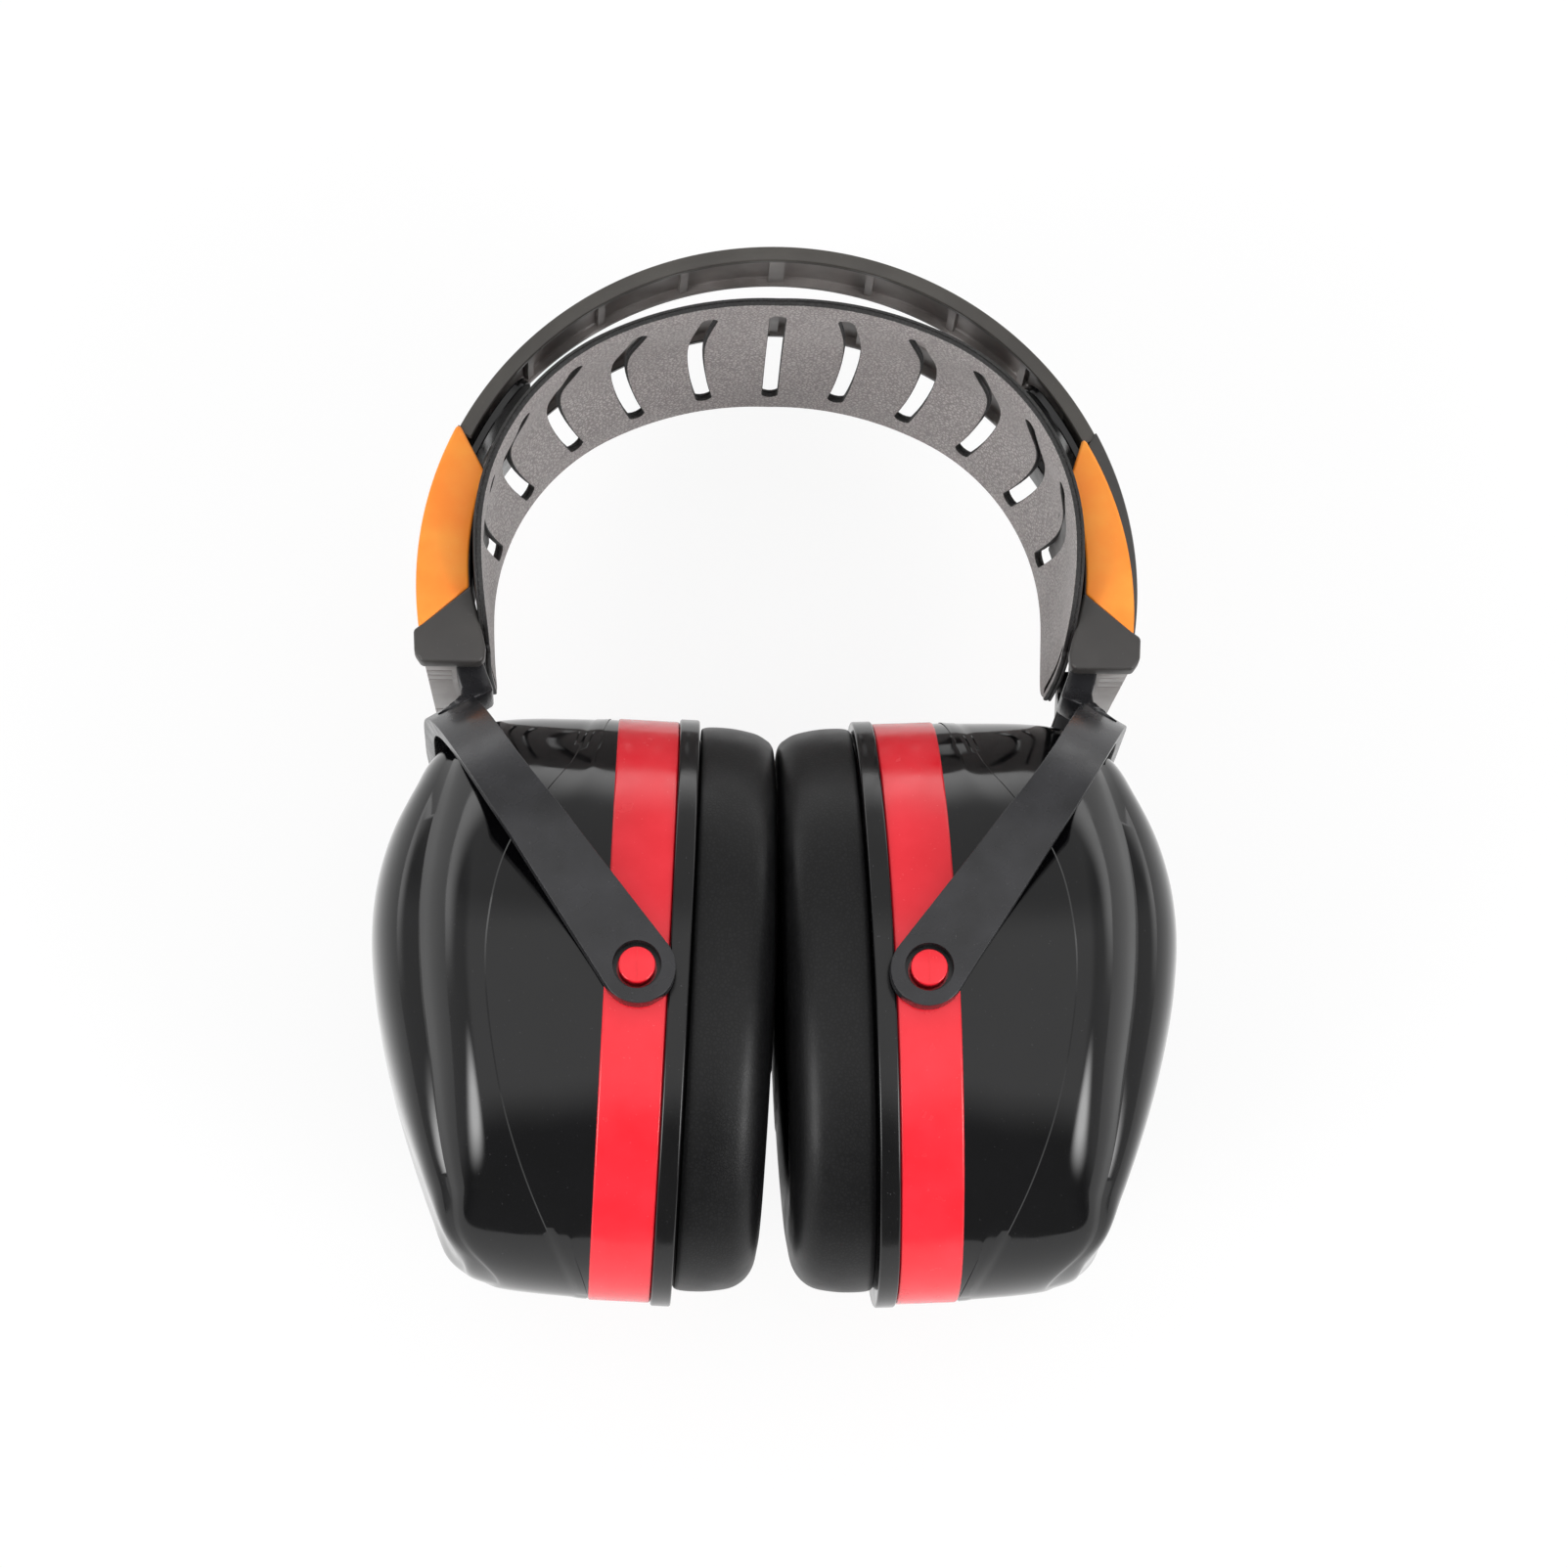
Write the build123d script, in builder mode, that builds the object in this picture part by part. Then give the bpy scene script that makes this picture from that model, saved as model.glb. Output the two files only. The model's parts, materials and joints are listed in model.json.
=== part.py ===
"""Hearing protection earmuffs, lying on their back: +X right, +Y to the crown, +Z to the wearer's front.

Origin: bottom centre of the whole object. It rests on the rear faces of the two rear yoke eyes.
"""
from build123d import *
from math import asin, atan2, cos, degrees, hypot, radians, sin, sqrt
import os

os.makedirs("parts", exist_ok=True)

# ---- headband ----
band_radius = 64.0          # outer radius of the band's arch
housing_yoke_gap = 1.0      # from the housings' feet down to the yokes' tops
rail_height = 2.8           # radial height of a rail's channel section
rail_wall = 1.2             # skin of the channel
rail_inner_z = 9.0          # each rail spans these two distances from the middle plane
rail_outer_z = 20.5
rib_pitch = 17.5            # cross ribs of the channel, along its outer skin
rib_thickness = 1.4
tie_angle = 6.0             # plate that ties the two rails above each housing
rib_low = 0.4               # the ribs stop this far above the channel's mouth
tie_low = 0.3               # and so does the tie plate
tie_high = 0.5              # the tie plate's top lies under the rails' outside
crown_gap = 0.2             # half of the split between the two band halves

# ---- head pad ----
pad_side_gap = 11.0         # the pad's outside hangs this far inside the arch at its sides
pad_crown_gap = 12.3        # and at the crown
pad_top_extra = 13.0        # its top is flatter than its half width by this radius
pad_shoulder_less = 11.0    # and its shoulders are tighter by this one
pad_foot = 15.5             # its ends go this far below the arch centre
pad_foot_radius = 110.0     # and turn gently inwards
pad_thickness = 2.2
pad_half_depth = 28.0
pad_corner = 3.0            # its four outer corners
slot_pitch = 12.5
slot_length = 40.0
slot_width = 2.8
crown_slots = 3             # slots of the crown piece, each side of the middle one
end_slots = 2               # slots of each end piece, before its last one
last_slot_run = 92.0        # that one's place, along the pad from the crown
last_slot_length = 30.0
pad_joint_gap = 0.3         # half of the gap between the crown piece and an end piece

# ---- side housings, at the band's ends ----
housing_top = 27.0          # angles above the horizontal through the arch centre
housing_foot = -15.5
housing_proud = 0.3         # the housing's outside stands proud of the band's
housing_pad_gap = 0.9       # from the pad to the housing's inside, about a centre of its own
inner_shift = 1.0           # that centre is outwards of and above the arch centre
inner_rise = 3.0
inner_foot = -19.4          # angle about that centre
housing_side_gap = 0.4      # the housing is deeper than the rails by this, each side
foot_height = 7.0           # angle of the thicker foot block
foot_lip = 0.6              # the foot stands proud of the block by this much
foot_round = 2.0            # its lower outer edge
insert_skin = 1.6           # coloured cheeks let into the housing's faces
insert_web = 1.0            # the web that joins them, on the side of the head
insert_top = 18.4           # angles of the cheek's inner corners, about the inside's centre
insert_foot = -4.7
insert_outer_foot = -8.3    # and of its lower outer corner, about the arch centre
insert_rim = 1.7            # one cheek reaches the edge, the other leaves this rim

# ---- sliders ----
tongue_thickness = 1.6
tongue_side_gap = 0.4       # its inner edge from the rail's inner side
tongue_insert_wall = 0.15   # between its slot and the coloured cheek
tongue_rail_gap = 0.6       # from the rail's underside
tongue_tip_radius = 4.0
tongue_tip = 41.0           # angle of the rounded tip
slide_gap = 0.35
neck_width = 6.6
neck_depth = 8.0
neck_pad_gap = 0.4          # from the pad to the neck's inner side
neck_overlap = 6.0          # the neck reaches this far up into the housing

# ---- yokes ----
arm_thickness = 3.6
arm_width = 9.4
eye_radius = 6.25
eye_recess_radius = 4.5
eye_recess = 1.4
arm_gap = 1.0               # between the cup's ring and the arms
yoke_corner_less = 7.0      # the fork's corners are tighter than half its width by this
yoke_drop = 1.3             # the yoke leans to a point this far below the top of the cup's oval
yoke_step = 0.95            # and this far inwards of the neck's middle
yoke_shell_gap = 2.05       # from the shell to the yoke's inside, along its lean

# ---- ear cups ----
toe_out = 2.5               # lean of each cup, its foot outwards
cup_half_depth = 40.0       # the oval of the ring
cup_half_height = 52.3
cup_end_radius = 30.0
cup_lift = 2.2              # oval centre above the pivot axis
ring_half_width = 5.5
ring_wall = 3.0
pin_radius = 3.2
pin_running_gap = 0.08
pin_sunk = 0.3              # pin end below the eye's face
boss_radius = 4.8
boss_gap = 0.2
shell_depth = 42.0          # from the ring to the shell's crown
shell_wall = 2.2
shell_power = 2.8           # the shell's flank: higher stays wide for longer
shell_round = 1.8
shell_crown_lift = 11.8     # the shell's crown stands above the oval's centre
shell_crown_cut = 0.985     # the crown ends in a small flat here
plate_thickness = 3.6
plate_lip = 0.5
ear_half_depth = 20.0       # the ear opening
ear_half_height = 31.0
ear_end_radius = 16.0
foam_gap = 2.0              # from the shell's rim to the foam
foam_plate_gap = 0.7
foam_length = 29.0
foam_round = 3.0
carrier_thickness = 1.2
carrier_inset = 4.5
cushion_inset = 3.0
cushion_thickness = 12.1    # from the carrier to the sealing face
cushion_round = 4.2
cushion_skin = 0.9
cushion_ear_inset = 1.0     # the cushion's hole is this much smaller than the plate's
cushion_gap = 0.33          # half of the gap between the two cushions, where their tops meet

SIDES = {"left": -1, "right": 1}


def shell_scale(travel):
    """Width of the shell's oval at a share of its depth, from 1 at the rim to 0 at the crown."""
    return (1 - travel**shell_power) ** (1 / shell_round)


def shell_top(travel):
    """Distance from the pivot to the top of the shell at a share of its depth."""
    rise = cup_lift + shell_crown_lift * travel**3 + cup_half_height * shell_scale(travel)
    return hypot(ring_half_width + travel * shell_depth, rise)


# ---- places that follow ----
toe = radians(toe_out)
eye_outer_z = cup_half_depth + arm_gap + arm_thickness
mid_z = eye_outer_z
plate_bottom = ring_half_width + plate_thickness
cushion_top = plate_bottom + carrier_thickness
seal_out = cushion_top + cushion_thickness
pivot_x = seal_out * cos(toe) + (cup_half_height + cup_lift - cushion_inset) * sin(toe) + cushion_gap
foot_drop = (cup_half_height + plate_lip - cup_lift) * cos(toe) + plate_bottom * sin(toe)
pad_half_width = band_radius - pad_side_gap
housing_outer = band_radius + housing_proud
neck_x = pad_half_width + neck_pad_gap + neck_width / 2
yoke_run = neck_x - yoke_step - pivot_x
yoke_rise = cup_half_height - yoke_drop
lean_x = yoke_run / hypot(yoke_run, yoke_rise)
lean_y = yoke_rise / hypot(yoke_run, yoke_rise)
yoke_reach = max(shell_top(step / 50) for step in range(50)) + yoke_shell_gap
yoke_top = (yoke_reach + arm_thickness) * lean_y + arm_width / 2 * lean_x
band_centre_rise = yoke_top + housing_yoke_gap - housing_outer * sin(radians(housing_foot))
pivot_y = (foot_drop - band_centre_rise - band_radius) / 2
neck_foot_y = pivot_y + yoke_reach * lean_y
arch_y = pivot_y + band_centre_rise
rail_inner = band_radius - rail_height
rail_middle = (rail_inner_z + rail_outer_z) / 2
housing_inner = pad_half_width + housing_pad_gap
housing_half_depth = rail_outer_z + housing_side_gap
top_x = cos(radians(housing_top))
top_y = sin(radians(housing_top))
top_along = inner_shift * top_x + inner_rise * top_y
top_run = top_along + sqrt(top_along**2 - inner_shift**2 - inner_rise**2 + housing_inner**2)
inner_top = degrees(atan2(top_run * top_y - inner_rise, top_run * top_x - inner_shift))
tongue_radius = rail_inner - tongue_rail_gap - tongue_thickness
tongue_inner_z = rail_inner_z + tongue_side_gap
tongue_outer_z = housing_half_depth - insert_skin - tongue_insert_wall - slide_gap
tongue_width = tongue_outer_z - tongue_inner_z
tongue_middle = (tongue_inner_z + tongue_outer_z) / 2


def polar(radius, angle, side=1):
    """A point on the band's arch, its angle measured up from the horizontal on the given side."""
    return side * radius * cos(radians(angle)), arch_y + radius * sin(radians(angle))


def inside(radius_inset, angle, side=1):
    """A point on the housing's inside, moved outwards by radius_inset."""
    radius = housing_inner + radius_inset
    return (
        side * (inner_shift + radius * cos(radians(angle))),
        arch_y + inner_rise + radius * sin(radians(angle)),
    )


def cheek(reach, outer_top, outer_foot, inner_top_angle, inner_foot_angle, side, inset=0.0):
    """Face between an arc about the arch centre and the housing's inside."""
    outer_middle = (outer_top + outer_foot) / 2
    inner_middle = (inner_top_angle + inner_foot_angle) / 2
    with BuildSketch(mode=Mode.PRIVATE) as shape:
        with BuildLine():
            ThreePointArc(
                polar(reach, outer_top, side),
                polar(reach, outer_middle, side),
                polar(reach, outer_foot, side),
            )
            Line(polar(reach, outer_foot, side), inside(inset, inner_foot_angle, side))
            ThreePointArc(
                inside(inset, inner_foot_angle, side),
                inside(inset, inner_middle, side),
                inside(inset, inner_top_angle, side),
            )
            Line(inside(inset, inner_top_angle, side), polar(reach, outer_top, side))
        make_face()
    return shape.sketch


def sector(inner, outer, start, end, side=1):
    """Flat ring sector about the arch centre."""
    middle = (start + end) / 2
    with BuildSketch(mode=Mode.PRIVATE) as shape:
        with BuildLine():
            ThreePointArc(polar(outer, start, side), polar(outer, middle, side), polar(outer, end, side))
            Line(polar(outer, end, side), polar(inner, end, side))
            ThreePointArc(polar(inner, end, side), polar(inner, middle, side), polar(inner, start, side))
            Line(polar(inner, start, side), polar(outer, start, side))
        make_face()
    return shape.sketch


def oval(half_width, half_height, end_radius):
    """Four-arc oval about the origin, taller than it is wide."""
    end_y = half_height - end_radius
    side_radius = (half_width**2 + end_y**2 - end_radius**2) / (2 * (half_width - end_radius))
    side_x = half_width - side_radius
    reach = side_radius / hypot(side_x, end_y)
    joint_x = side_x * (1 - reach)
    joint_y = end_y * reach
    with BuildSketch(mode=Mode.PRIVATE) as shape:
        with BuildLine():
            ThreePointArc((joint_x, -joint_y), (half_width, 0), (joint_x, joint_y))
            ThreePointArc((joint_x, joint_y), (0, half_height), (-joint_x, joint_y))
            ThreePointArc((-joint_x, joint_y), (-half_width, 0), (-joint_x, -joint_y))
            ThreePointArc((-joint_x, -joint_y), (0, -half_height), (joint_x, -joint_y))
        make_face()
    return shape.sketch


def cup_oval(inset=0.0, scale=1.0):
    """The cup's oval, moved inwards by inset after scaling."""
    return oval(
        cup_half_depth * scale - inset,
        cup_half_height * scale - inset,
        cup_end_radius * scale - inset,
    )


def ear_oval(inset=0.0):
    """The oval of the ear opening."""
    return oval(ear_half_depth - inset, ear_half_height - inset, ear_end_radius - inset)


def cup_plane(side, out, lift=cup_lift):
    """Plane across a cup's axis, a distance out from its pivot, its y towards the crown."""
    axis = Vector(side * cos(toe), sin(toe), 0)
    rise = Vector(-side * sin(toe), cos(toe), 0)
    pivot_middle = Vector(side * pivot_x, pivot_y, mid_z)
    return Plane(origin=pivot_middle + axis * out + rise * lift, x_dir=(0, 0, -side), z_dir=axis)


def shell_stations(side, inset):
    """Planes and ovals of the shell's skin, moved inwards by inset."""
    for travel in (0.0, 0.2, 0.4, 0.6, 0.75, 0.87, 0.95, shell_crown_cut):
        out = ring_half_width + inset + travel * (shell_depth - 2 * inset)
        lift = cup_lift + shell_crown_lift * travel**3
        yield cup_plane(side, out, lift), cup_oval(min(inset, 5 * shell_scale(travel)), shell_scale(travel))


# ---- head pad: a slotted strap hung inside the arch, a crown piece and two end pieces ----
pad_top_radius = pad_half_width + pad_top_extra
pad_shoulder_radius = pad_half_width - pad_shoulder_less
pad_side_x = pad_half_width - pad_shoulder_radius
pad_foot_x = pad_half_width - pad_foot_radius
pad_top_y = arch_y + band_radius - pad_crown_gap - pad_top_radius
pad_spring_y = pad_top_y + sqrt((pad_top_radius - pad_shoulder_radius) ** 2 - pad_side_x**2)
pad_joint = atan2(pad_side_x, pad_spring_y - pad_top_y)
pad_foot_turn = asin((pad_foot + pad_spring_y - arch_y) / pad_foot_radius)
pad_top_run = pad_top_radius * pad_joint
pad_spring_run = pad_top_run + pad_shoulder_radius * (radians(90) - pad_joint)
pad_split_run = slot_pitch * (crown_slots + 0.5)


def pad_point(centre_x, centre_y, radius, turn, side):
    """A point on one of the pad's arcs, its angle measured down from the crown."""
    return side * (centre_x + radius * sin(turn)), centre_y + radius * cos(turn)


def pad_plane(run, side):
    """Plane that faces out of the pad at a distance along it from the crown, its x along the depth."""
    if run < pad_top_run:
        turn = run / pad_top_radius
        place = pad_point(0, pad_top_y, pad_top_radius, turn, side)
    elif run < pad_spring_run:
        turn = pad_joint + (run - pad_top_run) / pad_shoulder_radius
        place = pad_point(pad_side_x, pad_spring_y, pad_shoulder_radius, turn, side)
    else:
        turn = radians(90) + (run - pad_spring_run) / pad_foot_radius
        place = pad_point(pad_foot_x, pad_spring_y, pad_foot_radius, turn, side)
    return Plane(origin=(*place, mid_z), x_dir=(0, 0, 1), z_dir=(side * sin(turn), cos(turn), 0))


def pad_joint_plane(side, gap):
    """Plane across the pad where its crown piece ends, moved towards the foot by gap."""
    face = pad_plane(pad_split_run, side)
    return Plane(origin=face.origin + face.y_dir * side * gap, z_dir=face.y_dir * side)


def pad_strap(side):
    """The pad's strap from the crown to its foot on one side, before its slots are cut."""
    right = radians(90)
    with BuildPart(mode=Mode.PRIVATE) as strap:
        with BuildSketch(Plane.XY.offset(mid_z - pad_half_depth)):
            ends = []
            with BuildLine():
                for inset in (0.0, pad_thickness):
                    top = [
                        pad_point(0, pad_top_y, pad_top_radius - inset, turn, side)
                        for turn in (0, pad_joint / 2, pad_joint)
                    ]
                    shoulder = [
                        pad_point(pad_side_x, pad_spring_y, pad_shoulder_radius - inset, turn, side)
                        for turn in (pad_joint, (pad_joint + right) / 2, right)
                    ]
                    foot = [
                        pad_point(pad_foot_x, pad_spring_y, pad_foot_radius - inset, turn, side)
                        for turn in (right, right + pad_foot_turn / 2, right + pad_foot_turn)
                    ]
                    for arc in (top, shoulder, foot):
                        ThreePointArc(*arc)
                    ends.append((top[0], foot[-1]))
                Line(ends[0][0], ends[1][0])
                Line(ends[0][1], ends[1][1])
            make_face()
        extrude(amount=2 * pad_half_depth)
    return strap.part


with BuildPart() as head_pad:
    for side in SIDES.values():
        add(pad_strap(side))
    for side in SIDES.values():
        split(bisect_by=pad_joint_plane(side, -pad_joint_gap), keep=Keep.BOTTOM)
        for number in range(crown_slots + 1):
            with BuildSketch(pad_plane(number * slot_pitch, side)):
                SlotOverall(slot_length, slot_width)
            extrude(amount=2 * pad_thickness, both=True, mode=Mode.SUBTRACT)
head_pad.part.label = "head_pad"
export_step(head_pad.part, "parts/head_pad.step")

# ---- band, housings, inserts, sliders and yokes, one set a side ----
inner_z = cup_half_depth + arm_gap
yoke_corner = inner_z - yoke_corner_less
crown_cut = degrees(crown_gap / band_radius)
rail_skin = band_radius - rail_wall / 2
tie_top = housing_top + tie_angle
rib_turn = degrees(rib_pitch / band_radius)
rib_span = degrees(rib_thickness / band_radius)
slot_top = inside(0, inner_foot)[1] + neck_overlap
neck_top = slot_top - slide_gap
end_piece_slots = [
    (number * slot_pitch, slot_length) for number in range(crown_slots + 1, crown_slots + end_slots + 1)
]
end_piece_slots.append((last_slot_run, last_slot_length))

for name, side in SIDES.items():
    with BuildPart() as pad_end:
        add(pad_strap(side))
        split(bisect_by=pad_joint_plane(side, pad_joint_gap), keep=Keep.TOP)
        foot_edges = pad_end.edges().filter_by(GeomType.LINE).filter_by(Axis.Z, reverse=True)
        fillet(foot_edges.group_by(Axis.Y)[0], pad_corner)
        for run, length in end_piece_slots:
            with BuildSketch(pad_plane(run, side)):
                SlotOverall(length, slot_width)
            extrude(amount=2 * pad_thickness, both=True, mode=Mode.SUBTRACT)
    pad_end.part.label = f"pad_end_{name}"
    export_step(pad_end.part, f"parts/pad_end_{name}.step")

    with BuildPart() as outer_band:
        for face_z in (-rail_middle, rail_middle):
            with BuildSketch(Plane.XY.offset(mid_z + face_z)):
                add(sector(rail_inner, band_radius, housing_top, 90 - crown_cut, side))
            extrude(amount=(rail_outer_z - rail_inner_z) / 2, both=True)
            with BuildSketch(Plane.XY.offset(mid_z + face_z)):
                add(sector(rail_inner - 1, band_radius - rail_wall, housing_top - 1, 91, side))
            extrude(amount=(rail_outer_z - rail_inner_z) / 2 - rail_wall, both=True, mode=Mode.SUBTRACT)
            with BuildSketch(Plane.XY.offset(mid_z + face_z)):
                rib = rib_turn / 2
                while rib < 90 - housing_top - rib_span:
                    rib_end = 90 - rib
                    add(sector(rail_inner + rib_low, rail_skin, rib_end - rib_span, rib_end, side))
                    rib += rib_turn
            extrude(amount=(rail_outer_z - rail_inner_z) / 2 - rail_wall / 2, both=True)
        with BuildSketch(Plane.XY.offset(mid_z)):
            add(sector(rail_inner + tie_low, band_radius - tie_high, housing_top, tie_top, side))
        extrude(amount=rail_outer_z - rail_wall / 2, both=True)
    outer_band.part.label = f"outer_band_{name}"
    export_step(outer_band.part, f"parts/outer_band_{name}.step")

    with BuildPart() as insert:
        for face, reach in ((-side, housing_outer - insert_rim), (side, housing_outer)):
            with BuildSketch(Plane.XY.offset(mid_z - face * (housing_half_depth - insert_skin / 2))):
                add(cheek(reach, housing_top, insert_outer_foot, insert_top, insert_foot, side))
            extrude(amount=insert_skin / 2, both=True)
        with BuildSketch(Plane.XY.offset(mid_z)):
            add(cheek(band_radius, insert_top, insert_foot, insert_top, insert_foot, side))
            add(
                cheek(band_radius + 1, inner_top, inner_foot, inner_top, inner_foot, side, insert_web),
                mode=Mode.SUBTRACT,
            )
        extrude(amount=housing_half_depth - insert_skin / 2, both=True)
    insert.part.label = f"housing_insert_{name}"
    export_step(insert.part, f"parts/housing_insert_{name}.step")

    with BuildPart() as housing:
        with BuildSketch(Plane.XY.offset(mid_z)):
            add(cheek(housing_outer, housing_top, housing_foot, inner_top, inner_foot, side))
        extrude(amount=housing_half_depth, both=True)
        with BuildSketch(Plane.XY.offset(mid_z)):
            foot_reach = housing_outer + foot_lip
            outer_top = housing_foot + foot_height
            foot_top = inner_foot + foot_height
            add(cheek(foot_reach, outer_top, housing_foot, foot_top, inner_foot, side))
        extrude(amount=housing_half_depth + foot_lip, both=True)
        fillet(housing.edges().filter_by(Axis.Z).group_by(Axis.Y)[0].sort_by(Axis.X)[::side][-1], foot_round)
        for face_z in (-tongue_middle, tongue_middle):
            with BuildSketch(Plane.XY.offset(mid_z + face_z)):
                add(
                    sector(
                        tongue_radius - slide_gap,
                        tongue_radius + tongue_thickness + slide_gap,
                        housing_foot - 2,
                        housing_top + 2,
                        side,
                    )
                )
            extrude(amount=tongue_width / 2 + slide_gap, both=True, mode=Mode.SUBTRACT)
            with BuildSketch(Plane.XY.offset(mid_z + face_z)):
                with Locations((side * neck_x, slot_top - neck_overlap)):
                    Rectangle(neck_width + 2 * slide_gap, 2 * neck_overlap)
            extrude(amount=neck_depth / 2 + slide_gap, both=True, mode=Mode.SUBTRACT)
        add(insert.part, mode=Mode.SUBTRACT)
    housing.part.label = f"side_housing_{name}"
    export_step(housing.part, f"parts/side_housing_{name}.step")

    with BuildPart() as tongues:
        for face_z in (-tongue_middle, tongue_middle):
            with BuildSketch(Plane.XY.offset(mid_z + face_z)):
                add(sector(tongue_radius, tongue_radius + tongue_thickness, housing_foot, tongue_tip, side))
            extrude(amount=tongue_width / 2, both=True)
        split(bisect_by=Plane(origin=(0, neck_top, 0), z_dir=(0, 1, 0)), keep=Keep.TOP)
        tip_edges = tongues.edges().filter_by(GeomType.LINE).filter_by(Axis.Z, reverse=True)
        fillet(tip_edges.group_by(Axis.Y)[-1], tongue_tip_radius)
    tongues.part.label = f"slider_tongues_{name}"
    export_step(tongues.part, f"parts/slider_tongues_{name}.step")

    pivot = (side * pivot_x, pivot_y)
    lean_plane = Plane(origin=(*pivot, mid_z), x_dir=(0, 0, 1), z_dir=(-lean_y, side * lean_x, 0))
    with BuildPart() as yoke:
        with BuildSketch(lean_plane):
            outer_y = yoke_reach + arm_thickness
            RectangleRounded(2 * eye_outer_z, 2 * outer_y, yoke_corner + arm_thickness)
            RectangleRounded(2 * inner_z, 2 * yoke_reach, yoke_corner, mode=Mode.SUBTRACT)
            with Locations((0, -yoke_reach)):
                Rectangle(4 * inner_z, 2 * yoke_reach, mode=Mode.SUBTRACT)
        extrude(amount=arm_width / 2, both=True)
        for face in (-1, 1):
            with BuildSketch(Plane.XY.offset(mid_z + face * (inner_z + arm_thickness / 2))):
                with Locations(pivot):
                    Circle(eye_radius)
            extrude(amount=arm_thickness / 2, both=True)
            with BuildSketch(Plane.XY.offset(mid_z + face * (inner_z + arm_thickness / 2))):
                with Locations(pivot):
                    Circle(pin_radius + pin_running_gap)
            extrude(amount=arm_thickness, both=True, mode=Mode.SUBTRACT)
            with BuildSketch(Plane.XY.offset(mid_z + face * eye_outer_z)):
                with Locations(pivot):
                    Circle(eye_recess_radius)
            extrude(amount=eye_recess, both=True, mode=Mode.SUBTRACT)
            with BuildSketch(Plane.XY.offset(mid_z + face * tongue_middle)):
                with Locations((side * neck_x, (neck_foot_y + neck_top) / 2)):
                    Rectangle(neck_width, neck_top - neck_foot_y)
            extrude(amount=neck_depth / 2, both=True)
    yoke.part.label = f"yoke_{name}"
    export_step(yoke.part, f"parts/yoke_{name}.step")

    with BuildPart() as shell:
        for plane, outline in shell_stations(side, 0):
            with BuildSketch(plane):
                add(outline)
        loft()
        with BuildSketch(cup_plane(side, -ring_half_width)):
            add(cup_oval(ring_wall))
        extrude(amount=2 * ring_half_width)
        for plane, outline in shell_stations(side, shell_wall):
            with BuildSketch(plane):
                add(outline)
        loft(mode=Mode.SUBTRACT)
        with BuildSketch(cup_plane(side, -ring_half_width)):
            add(cup_oval(ring_wall + shell_wall))
        extrude(amount=2 * ring_half_width + 2 * shell_wall, mode=Mode.SUBTRACT)
    shell.part.label = f"outer_shell_{name}"
    export_step(shell.part, f"parts/outer_shell_{name}.step")

    with BuildPart() as ring:
        with BuildSketch(cup_plane(side, -ring_half_width)):
            add(cup_oval())
            add(cup_oval(ring_wall), mode=Mode.SUBTRACT)
        extrude(amount=2 * ring_half_width)
        for face in (-1, 1):
            with BuildSketch(Plane.XY.offset(mid_z + face * (cup_half_depth - ring_wall / 2))):
                with Locations(pivot):
                    Circle(boss_radius)
            extrude(amount=face * (ring_wall / 2 + arm_gap - boss_gap))
            with BuildSketch(Plane.XY.offset(mid_z + face * (cup_half_depth - ring_wall / 2))):
                with Locations(pivot):
                    Circle(pin_radius)
            extrude(amount=face * (ring_wall / 2 + arm_gap + arm_thickness - pin_sunk))
    ring.part.label = f"pivot_ring_{name}"
    export_step(ring.part, f"parts/pivot_ring_{name}.step")

    with BuildPart() as plate:
        with BuildSketch(cup_plane(side, -plate_bottom)):
            add(cup_oval(-plate_lip))
            add(ear_oval(), mode=Mode.SUBTRACT)
        extrude(amount=plate_thickness)
    plate.part.label = f"base_plate_{name}"
    export_step(plate.part, f"parts/base_plate_{name}.step")

    with BuildPart() as foam:
        with BuildSketch(cup_plane(side, foam_plate_gap - ring_half_width)):
            add(cup_oval(ring_wall + shell_wall + foam_gap))
        extrude(amount=foam_length)
        fillet(foam.edges(), foam_round)
    foam.part.label = f"acoustic_foam_{name}"
    export_step(foam.part, f"parts/acoustic_foam_{name}.step")

    with BuildPart() as carrier:
        with BuildSketch(cup_plane(side, -cushion_top)):
            add(cup_oval(carrier_inset))
            add(ear_oval(), mode=Mode.SUBTRACT)
        extrude(amount=carrier_thickness)
    carrier.part.label = f"cushion_carrier_{name}"
    export_step(carrier.part, f"parts/cushion_carrier_{name}.step")

    with BuildPart() as cushion_foam:
        with BuildSketch(cup_plane(side, cushion_skin - seal_out)):
            add(cup_oval(cushion_inset + cushion_skin))
            add(ear_oval(cushion_ear_inset - cushion_skin), mode=Mode.SUBTRACT)
        extrude(amount=cushion_thickness - 2 * cushion_skin)
        seal_face = cushion_foam.faces().filter_by(GeomType.PLANE).sort_by(Axis.X)[:: -side][-1]
        fillet(seal_face.edges(), cushion_round - cushion_skin)
    cushion_foam.part.label = f"cushion_foam_{name}"
    export_step(cushion_foam.part, f"parts/cushion_foam_{name}.step")

    with BuildPart() as cover:
        with BuildSketch(cup_plane(side, -seal_out)):
            add(cup_oval(cushion_inset))
            add(ear_oval(cushion_ear_inset), mode=Mode.SUBTRACT)
        extrude(amount=cushion_thickness)
        seal_face = cover.faces().filter_by(GeomType.PLANE).sort_by(Axis.X)[:: -side][-1]
        fillet(seal_face.edges(), cushion_round)
        add(cushion_foam.part, mode=Mode.SUBTRACT)
    cover.part.label = f"cushion_cover_{name}"
    export_step(cover.part, f"parts/cushion_cover_{name}.step")
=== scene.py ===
"""Looks of a pair of over-the-head hearing protection earmuffs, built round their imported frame.

Lengths in this file are millimetres until a mesh is made.
Row frame: +X right, +Y to the crown, +Z to the front.
"""

import json
import math

import bmesh
import bpy
import numpy as np
from mathutils import Matrix, Vector


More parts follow.
